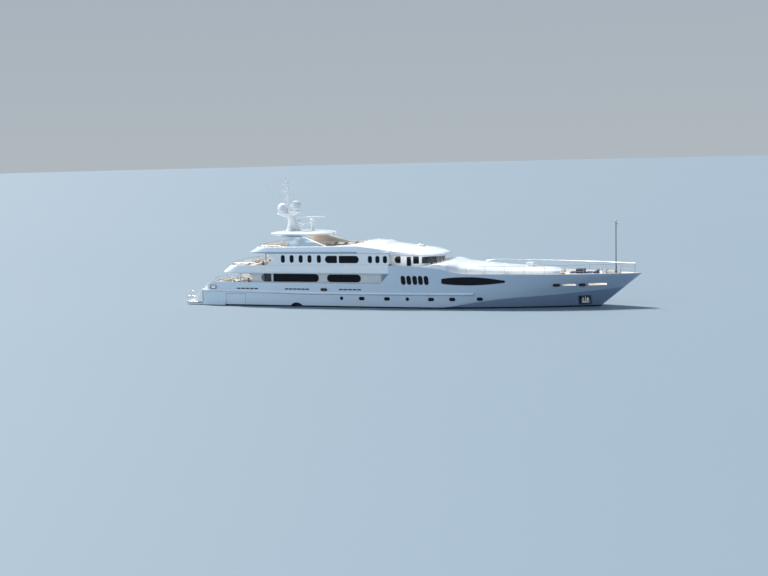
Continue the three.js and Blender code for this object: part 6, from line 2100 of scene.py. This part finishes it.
def helm_screens(z):
    """Four screens on the sloping desk."""
    corners = ((0, -0.34), (0.44, -0.34), (0.44, 0.34), (0, 0.34))
    faces = ((2.56, z + 0.845), (2.55, z + 0.875))
    return [bevel(loft([[(x + d, y + w, low + 0.48 * d) for d, w in corners] for x, low in faces]), 0.01)
            for y in (-1.3, -0.45, 0.45, 1.3)]


def helm_wheel(z, x=2.42, radius=0.24):
    """A rim with three spokes, on its hub."""
    rim = lambda t: (x, radius * math.cos(t), z + radius * math.sin(t))
    wheel = [tube([rim(t) for t in np.linspace(0, 2 * math.pi, 33)], 0.016, 8)]
    wheel += [rod((x, 0, z), rim(t), 0.012, 8) for t in (math.pi / 2, math.pi * 7 / 6, math.pi * 11 / 6)]
    return [*wheel, rod((x - 0.02, 0, z), (2.56, 0, z), 0.03, 12)]


def helm():
    """The console, its screens and wheel, and two chairs behind it."""
    z, chairs_y = BRIDGE_DECK_Z, (-0.9, 0.9)
    desk = side_prism([(2.5, z + GAP), (3.7, z + GAP), (3.9, z + 0.85), (3.3, z + 1.12), (3.12, z + 1.1),
                       (2.5, z + 0.8)], -1.9, 1.9)
    piece(bevel(desk, 0.03, 3), "helm_desk", "grey", instead=["helm_console"])
    piece(bundle(*helm_screens(z)), "helm_screens", "glass")
    piece(bundle(*helm_wheel(z + 0.86)), "helm_wheel", "steel")
    stands = [lathe([(0.24, 0), (0.22, 0.03), (0.06, 0.06), (0.06, 0.55)], (1.55, y, z + GAP), 24)
              for y in chairs_y]
    piece(bundle(*stands), "helm_chair_stands", "steel")
    boxes = [(x0, x1, y - 0.27, y + 0.27, z + low, z + high)
             for x0, x1, low, high in ((1.3, 1.82, 0.55, 0.7), (1.24, 1.4, 0.72, 1.35)) for y in chairs_y]
    pads("helm_chairs", boxes, "navy")
    bench = bevel(box(-0.72, -0.1, -2.4, 2.4, z + GAP, z + 0.45), 0.04, 3)
    piece(bench, "wheelhouse_bench", "inner")


def roof_fittings():
    """The low housing with its lamps over the wheelhouse, and the hooks at the roof's edges."""
    fitting = [bevel(box(1.31, 2.06, -0.4, 0.4, 6.86, 7.04), 0.04, 3)]
    fitting += [lathe([(0.05, 0), (0.07, 0.03), (0.07, 0.1), (0.04, 0.13)], (1.5, y, 7.04), 20)
                for y in (-0.25, 0.25)]
    piece(bundle(*fitting), "roof_housing", "pale")
    hooks = both(bundle(rod((1.84, 4.28, 6.2), (1.84, 4.28, 6.52), 0.018, 8),
                        bevel(box(1.74, 1.94, 4.22, 4.34, 6.16, 6.22), 0.012)))
    piece(hooks, "roof_edge_hooks", "steel")


# Stage, lights and camera

# The photograph's view, in the model's metres
CAMERA = {"place": (19.626, -68.164, 8.946), "azimuth": 17.234, "down": 6.438, "roll": 1.372, "lens": 56.25}


def camera():
    turn, down, roll = (math.radians(CAMERA[k]) for k in ("azimuth", "down", "roll"))
    ahead = Vector((-math.sin(turn) * math.cos(down), math.cos(turn) * math.cos(down), -math.sin(down)))
    right = Vector((math.cos(turn), math.sin(turn), 0))
    up = right.cross(ahead)
    rolled_right = math.cos(roll) * right - math.sin(roll) * up
    rolled_up = math.cos(roll) * up + math.sin(roll) * right
    data = bpy.data.cameras.new("camera")
    data.lens, data.sensor_width, data.sensor_fit = CAMERA["lens"], 36, "HORIZONTAL"
    data.clip_start, data.clip_end = 0.5, 3000
    eye = collect(bpy.data.objects.new("camera", data))
    facing = Matrix((rolled_right, rolled_up, -ahead)).transposed().to_4x4()
    eye.matrix_world = Matrix.Translation(CAMERA["place"]) @ facing
    bpy.context.scene.camera = eye


def stage():
    """A pale floor at the waterline, with a faint unevenness."""
    mesh = bpy.data.meshes.new("floor")
    reach, sides = 900, 96
    ring = [(reach * math.cos(t), reach * math.sin(t), 0) for t in full_turn(sides)]
    mesh.from_pydata(ring, [], [tuple(range(sides))])
    floor = collect(bpy.data.objects.new("floor", mesh))
    paint = Shader("pale_floor", (0.19, 0.25, 0.3), 0.7)
    paint.tint(paint.ramp(paint.noise(0.02, 3), 0.35, 0.7, 0, 0.5), (0.18, 0.24, 0.29))
    mesh.materials.append(paint.material)


# Lamps: name, direction towards it, angle in degrees, strength, colour
LIGHTS = [
    ("key", (-0.5, 0.24, 0.83), 8, 6, (1, 0.96, 0.9)),
    ("fill", (-0.8, -0.55, 0.25), 50, 1.1, (0.86, 0.93, 1)),
]
# Area lamps: place, direction they shine in, length, breadth and power
AREA_LAMPS = [((x, 0, 3.1), (0, 0, -1), 2, 1.2, 4) for x in (19.5, 22.5)]
AREA_LAMPS += [((1.3, 4.62 * side, 5.7), (0, -0.9 * side, -0.25), 3.6, 0.2, 1.6) for side in (-1, 1)]
AREA_LAMPS += [((-10, -3.9 * side, 7.7), (0, side, 0.1), 3, 0.5, 2) for side in (-1, 1)]


def lights():
    for name, towards, angle, strength, colour in LIGHTS:
        data = bpy.data.lights.new(name, "SUN")
        data.angle, data.energy, data.color = math.radians(angle), strength, colour
        lamp = collect(bpy.data.objects.new(name, data))
        lamp.rotation_euler = Vector(towards).to_track_quat("Z", "Y").to_euler()
    for place, shines, length, breadth, power in AREA_LAMPS:
        data = bpy.data.lights.new("area", "AREA")
        data.shape, data.size, data.size_y = "RECTANGLE", SCALE * length, SCALE * breadth
        data.energy, data.color = power, (1, 0.97, 0.92)
        lamp = collect(bpy.data.objects.new("area", data))
        lamp.location = SCALE * Vector(place)
        lamp.rotation_euler = Vector(shines).to_track_quat("-Z", "Y").to_euler()
        lamp.visible_camera = False


def sky():
    """Soft light from all round, bluer overhead."""
    world = bpy.data.worlds.new("studio")
    bpy.context.scene.world = world
    world.use_nodes = True
    tree = world.node_tree
    place = tree.nodes.new("ShaderNodeTexCoord")
    split = tree.nodes.new("ShaderNodeSeparateXYZ")
    mix = tree.nodes.new("ShaderNodeValToRGB")
    tree.links.new(place.outputs["Generated"], split.inputs["Vector"])
    tree.links.new(split.outputs["Z"], mix.inputs["Fac"])
    tree.links.new(mix.outputs["Color"], tree.nodes["Background"].inputs["Color"])
    low, high = mix.color_ramp.elements
    low.position, high.position = 0, 0.7
    low.color, high.color = (0.72, 0.8, 0.86, 1), (0.36, 0.54, 0.82, 1)
    tree.nodes["Background"].inputs["Strength"].default_value = 0.6
    bpy.context.scene.view_settings.view_transform = "Standard"


camera()
stage()
lights()
sky()
hull()
hull_windows()
bridge_deck()
sun_deck()
main_deckhouse()
saloon_glass()
upper_deckhouse()
lounge_bulkhead()
sliding_door("saloon_door_leaf", "saloon_door", "main_deck_door", SALOON["aft"], MAIN_DECK_Z,
             SALOON["door_half"], SALOON["door_top"])
sliding_door("lounge_door_leaf", "lounge_door", "bridge_deck_door", LOUNGE["aft"], BRIDGE_DECK_Z,
             LOUNGE["door_half"], LOUNGE["door_top"])
wheelhouse()
side_doors()
wheelhouse_roof()
foredeck_trunk()
swim_platform()
shell_doors()
transom_door()
fairleads()
pocket_frames()
thruster_grilles()
door_seams()
anchors()
foredeck_rails()
deck_rails()
transom_rail()
platform_rails()
cappings()
arch_legs()
hardtop()
mast()
satellite_domes()
radar()
pole_mast()
mast_gear()
jackstaff()
steering()
screws()
engines()
sofa("aft_sofa", "aft_sofa", -23.85, -22.9, 2.1, MAIN_DECK_Z, 4)
sofa("bridge_sofa", "bridge_deck_sofa", -20.1, -19.1, 1.8, BRIDGE_DECK_Z, 3)
table("aft_table", "aft_table", -21.2, 2.6, 1.4, MAIN_DECK_Z)
table("bridge_table", "bridge_deck_table", -17.8, 2, 1.3, BRIDGE_DECK_Z)
deck_chairs()
sun_loungers()
sun_deck_settee()
foredeck_lounge()
foredeck_gear()
hatches_and_vents()
bell()
helm()
roof_fittings()
